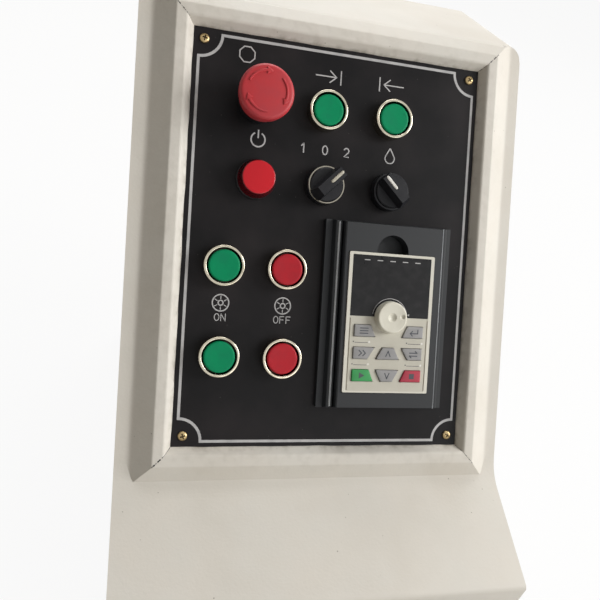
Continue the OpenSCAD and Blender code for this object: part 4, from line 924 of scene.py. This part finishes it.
def ringMark(spot, radius, width, start=0, end=360):
    # ring, or the part of it between two angles
    return [inkLine(arcPoints(spot, radius, start, end, 36), width)]


def wheelMark(spot):
    # grinding wheel: rim, hub and short spokes
    parts = ringMark(spot, 6, marks["line"]) + ringMark(spot, 1.8, marks["line"])
    for turn in np.radians(np.arange(30, 390, 60)):
        way = np.array([math.cos(turn), math.sin(turn)])
        parts += inkStrokes([np.array(spot) + way * 3, np.array(spot) + way * 4.8], marks["fine"])
    return parts


def dropMark(spot):
    # drop of water: a half round with two sides drawn to a point
    side = np.array([(0, 7.0), (-2.2, 3.2), (-3.9, 0.2)])
    belly = arcPoints((0, -1.6), 4.3, 155, 385, 24)
    shape = np.vstack([side, belly, side[::-1] * [-1, 1]])
    return [inkLine(moved(shape, spot, 0.9), marks["line"])]


def powerMark(spot):
    # ring open at the top, with a stroke in the opening
    return (ringMark(spot, 5.2, marks["bold"], 118, 422)
            + inkStrokes(moved([(0, 1.5), (0, 6.6)], spot), marks["bold"]))


def stopMark(spot):
    # octagon
    corner = np.radians(np.arange(22.5, 382, 45))
    shape = np.c_[np.cos(corner), np.sin(corner)] * 6.0
    return [closedLine(moved(shape, spot), marks["line"])]


def oval(x, y):
    # ellipse of half sizes x and y that touches both axes
    turn = np.linspace(0, 2 * np.pi, 25)
    return np.c_[x + x * np.cos(turn), y + y * np.sin(turn)]


glyphs = {
    "O": [oval(0.34, 0.5)],
    "N": [[(0, 0), (0, 1), (0.65, 0), (0.65, 1)]],
    "F": [[(0, 0), (0, 1), (0.6, 1)], [(0, 0.52), (0.5, 0.52)]],
    "0": [oval(0.3, 0.5)],
    "1": [[(0.1, 0.75), (0.35, 1), (0.35, 0)]],
    "2": [np.vstack([arcPoints((0.3, 0.7), 0.3, 165, -35, 12), [(0.0, 0.0), (0.62, 0.0)]])],
}


def wordMark(text, spot, size, width):
    # plain stroke letters and numbers, set centred on the spot, pitch and gap as shares of their height
    pitch, gap = 0.95, 0.3
    start = np.array(spot) - [size * (len(text) * pitch - gap) / 2, size / 2]
    parts = []
    for place, letter in enumerate(text):
        for stroke in glyphs[letter]:
            shape = moved(stroke, start + [place * pitch * size, 0], size)
            curved = len(shape) > 6
            parts += [inkLine(shape, width)] if curved else inkStrokes(shape, width)
    return parts


def above(name, rise):
    # spot up the slope from a node's middle
    return nodeSpot(name) + [0, rise]


plateMarks = [closedLine(borderPath(), border["width"])]
plateMarks += stopMark(above("estop_collar", marks["overRow1"] + 7) - [10, 0])
plateMarks += arrowMark(above("stroke_right_cap", marks["overRow1"]), 1)
plateMarks += arrowMark(above("stroke_left_cap", marks["overRow1"]), -1)
plateMarks += powerMark(above("lamp_body", marks["overRow2"]))
for place, figure in enumerate("102"):
    spot = above("mode_trim", marks["overRow2"] - 2) + [(place - 1) * marks["figurePitch"], 0]
    plateMarks += wordMark(figure, spot, marks["figureSize"], marks["line"])
plateMarks += dropMark(above("pump_ring", marks["overRow2"] - 1))
for text, name in (("ON", "lower_start_cap"), ("OFF", "lower_stop_cap")):
    plateMarks += wheelMark(above(name, marks["overRow3"]))
    plateMarks += wordMark(text, above(name, marks["words"]), marks["wordSize"], marks["fine"])
addPiece("plateMarks", plateMarks, "ink")

legend = {"line": 0.75, "lift": 0.05}
filled = {"key_run": ([(-2, -2.3), (2.4, 0)], [(-2, 2.3), (2.4, 0)]),  # lower and upper line
          "key_stop": ([(-2, -2), (2, -2)], [(-2, 2), (2, 2)])}
legends = {
    "key_program": [[(-3, 1.9), (3, 1.9)], [(-3, 0), (3, 0)], [(-3, -1.9), (3, -1.9)]],
    "key_function": [[(3, 2), (3, -0.8), (-3, -0.8)], [(-1.4, 0.9), (-3.1, -0.8), (-1.4, -2.5)]],
    "key_jog": [[(-2.6, 1.9), (-0.7, 0), (-2.6, -1.9)], [(0.5, 1.9), (2.4, 0), (0.5, -1.9)]],
    "key_up": [[(-1.7, -1.9), (0, 1.9), (1.7, -1.9)]],
    "key_direction": [[(-3, 1.1), (3, 1.1), (1.7, 2.4)], [(3, -1.1), (-3, -1.1), (-1.7, -2.4)]],
    "key_down": [[(-1.7, 1.9), (0, -1.9), (1.7, 1.9)]],
}
for name in keyFinish:
    height = nodeSpan(name)[1][2] + key["crown"] + legend["lift"]
    middle = keyOutline(name)[2]
    if name in filled:
        parts = [inkFill(*(moved(line, middle) for line in filled[name]), height)]
    else:
        parts = [part for shape in legends[name]
                 for part in inkStrokes(moved(shape, middle), legend["line"], height)]
    addPiece(name.replace("key_", "legend_"), parts, "darkInk", name)

keypadPrint = {"lift": 0.05, "tick": (4.4, 0.7), "tickPitch": 10.2, "tickDrop": 3.6, "ticks": 5, "arc": 13.9,
               "arcLine": 0.4, "arcTurn": (172, 12), "arcSteps": 40, "pointer": 1.5, "pointerAt": (14.3, 2.2),
               "pointerHalf": 0.6, "slotLong": 12.6, "slotLine": 0.35, "slotDrop": 0.6, "slotGaps": (1, 1.2),
               "lamp": 0.85, "eye": 0.5}


def windowPrint():
    # row of short ticks, a scale arc over the dial and a pointer at its right end
    top, spot = nodeSpan("display_window")[1], nodeSpot("speed_knob")
    height, tickV = top[2] + keypadPrint["lift"], top[1] - keypadPrint["tickDrop"]
    middle = nodeSpot("display_window")[0]
    wide, tall = keypadPrint["tick"]
    places = (np.arange(keypadPrint["ticks"]) - (keypadPrint["ticks"] - 1) / 2) * keypadPrint["tickPitch"]
    parts = [inkLine([(middle + x - wide / 2, tickV), (middle + x + wide / 2, tickV)], tall, height)
             for x in places]
    arc = arcPoints(spot, keypadPrint["arc"], *keypadPrint["arcTurn"], keypadPrint["arcSteps"])
    parts.append(inkLine(arc, keypadPrint["arcLine"], height))
    low, high = (moved([(0, 0), (1, side * keypadPrint["pointerHalf"])], spot + keypadPrint["pointerAt"],
                       keypadPrint["pointer"]) for side in (-1, 1))
    parts.append(inkFill(low, high, height))
    return parts


def slotPrint():
    # under each upper key a fine line from a dark eye to a white lamp; the lamps come second
    height = nodeSpan("keypad_case")[1][2] + keypadPrint["lift"]
    long, drop, (startGap, endGap) = keypadPrint["slotLong"], keypadPrint["slotDrop"], keypadPrint["slotGaps"]
    dark, lamps = [], []
    for high, low in (("key_program", "key_jog"), ("key_jog", "key_run")):
        v = (nodeSpan(high)[0][1] + nodeSpan(low)[1][1]) / 2
        for x in (nodeSpan("key_program")[0][0], nodeSpan("key_function")[1][0] - long):
            line = [(x + startGap, v - drop), (x + long - endGap, v - drop)]
            dark += [inkDot((x, v), keypadPrint["eye"], height), inkLine(line, keypadPrint["slotLine"], height)]
            lamps.append(inkDot((x + long, v), keypadPrint["lamp"], height))
    return dark, lamps


addPiece("windowPrint", windowPrint(), "ink")
slotLines, slotLamps = slotPrint()
addPiece("slotPrint", slotLines, "darkInk")
addPiece("slotLamps", slotLamps, "white")
print("print made")

# camera fitted to the printed border: eye and aim on the panel in mm, roll in degrees, focal length and
# picture width in pixels
shot = {"eye": (-150.7, -30.7, 462.3), "aim": (-23.5, -39.9, 0.0), "roll": 3.4, "focal": 640.0, "width": 600.0,
        "sensor": 36.0, "clip": (0.01, 50.0)}


def addCamera():
    # looks from eye to aim with the panel's slope upright, then rolls about its line of sight
    data = bpy.data.cameras.new("camera")
    data.sensor_width = shot["sensor"]
    data.lens = shot["focal"] / shot["width"] * data.sensor_width
    data.clip_start, data.clip_end = shot["clip"]
    eye, aim = (toWorld(np.array(shot[name])) for name in ("eye", "aim"))
    ahead = unit(aim - eye)
    right = unit(np.cross(ahead, panelUp))
    up = np.cross(right, ahead)
    roll = math.radians(shot["roll"])
    rolledRight = right * math.cos(roll) + up * math.sin(roll)
    rolledUp = up * math.cos(roll) - right * math.sin(roll)
    turn = Matrix((rolledRight, rolledUp, -ahead)).transposed()
    camera = bpy.data.objects.new("camera", data)
    camera.matrix_world = Matrix.Translation(Vector(eye)) @ turn.to_4x4()
    bpy.context.scene.collection.objects.link(camera)
    bpy.context.scene.camera = camera


addCamera()

# soft window far to the right, weak lamps in front, above and behind, warm dim room seen white
studio = {
    "floor": {"size": 12.0, "color": "#d8d6d2", "rough": 0.8, "white": 0.93},
    "world": {"color": "#fff0d8", "strength": 0.115},
    "lampColor": "#ffffff",
    "lamps": [
        {"name": "windowLight", "spot": (2.52, -0.93, 1.62), "aim": (0, 0, 0.28), "size": (1.5, 1.5),
         "power": 86},
        {"name": "roomLight", "spot": (1.04, -2.37, 0.8), "aim": (0, 0, 0.28), "size": (1.4, 1.2), "power": 12},
        {"name": "ceilingLight", "spot": (0.25, 1, 2), "aim": (0, 0, 0.4), "size": (1.2, 1.2), "power": 21},
        {"name": "backWindow", "spot": (0.25, 1.76, 1.72), "aim": (0, 0, 0.4), "size": (1.4, 1.4), "power": 9},
    ],
}


def whiteSeen(tree):
    # 1 on camera, glossy and transmission rays
    ray = addNode(tree, "LightPath").node.outputs
    seen = addNode(tree, "Math", {0: ray["Is Camera Ray"], 1: ray["Is Glossy Ray"]}, operation="MAXIMUM")
    return addNode(tree, "Math", {0: seen, 1: ray["Is Transmission Ray"]}, operation="MAXIMUM")


def addStudio():
    # world and floor light the piece as a warm room does, and are seen white
    scene = bpy.context.scene
    world = bpy.data.worlds.new("studio")
    scene.world = world
    world.use_nodes = True
    tree = world.node_tree
    room = tree.nodes["Background"]
    dim = studio["world"]
    setInputs(tree, room, {"Color": hexColor(dim["color"]), "Strength": dim["strength"]})
    white = addNode(tree, "Background", {"Color": (1, 1, 1, 1), "Strength": 1.0})
    mix = addNode(tree, "MixShader", {0: whiteSeen(tree), 1: room.outputs[0], 2: white})
    setInputs(tree, tree.nodes["World Output"], {"Surface": mix})
    for lamp in studio["lamps"]:
        data = bpy.data.lights.new(lamp["name"], "AREA")
        data.shape = "RECTANGLE"
        data.size, data.size_y = lamp["size"]
        data.energy = lamp["power"]
        data.color = hexColor(studio["lampColor"])[:3]
        light = bpy.data.objects.new(lamp["name"], data)
        light.location = lamp["spot"]
        light.rotation_euler = (Vector(lamp["aim"]) - Vector(lamp["spot"])).to_track_quat("-Z", "Y").to_euler()
        scene.collection.objects.link(light)
    half = studio["floor"]["size"] / 2
    mesh = bpy.data.meshes.new("floor")
    corners = [(x * half, y * half, 0) for x, y in ((-1, -1), (1, -1), (1, 1), (-1, 1))]
    mesh.from_pydata(corners, [], [(0, 1, 2, 3)])
    floor = bpy.data.objects.new("floor", mesh)
    scene.collection.objects.link(floor)
    material, tree, shader, place = startMaterial("paleFloor")
    setInputs(tree, shader, {"Base Color": hexColor(studio["floor"]["color"]),
                             "Roughness": studio["floor"]["rough"]})
    glow = addNode(tree, "Emission", {"Color": (1, 1, 1, 1), "Strength": 1.0})
    share = addNode(tree, "Math", {0: whiteSeen(tree), 1: studio["floor"]["white"]}, operation="MULTIPLY")
    mix = addNode(tree, "MixShader", {0: share, 1: shader.outputs[0], 2: glow})
    setInputs(tree, tree.nodes["Material Output"], {"Surface": mix})
    floor.data.materials.append(material)


addStudio()
bpy.context.scene.view_settings.view_transform = "Standard"
print("studio ready")
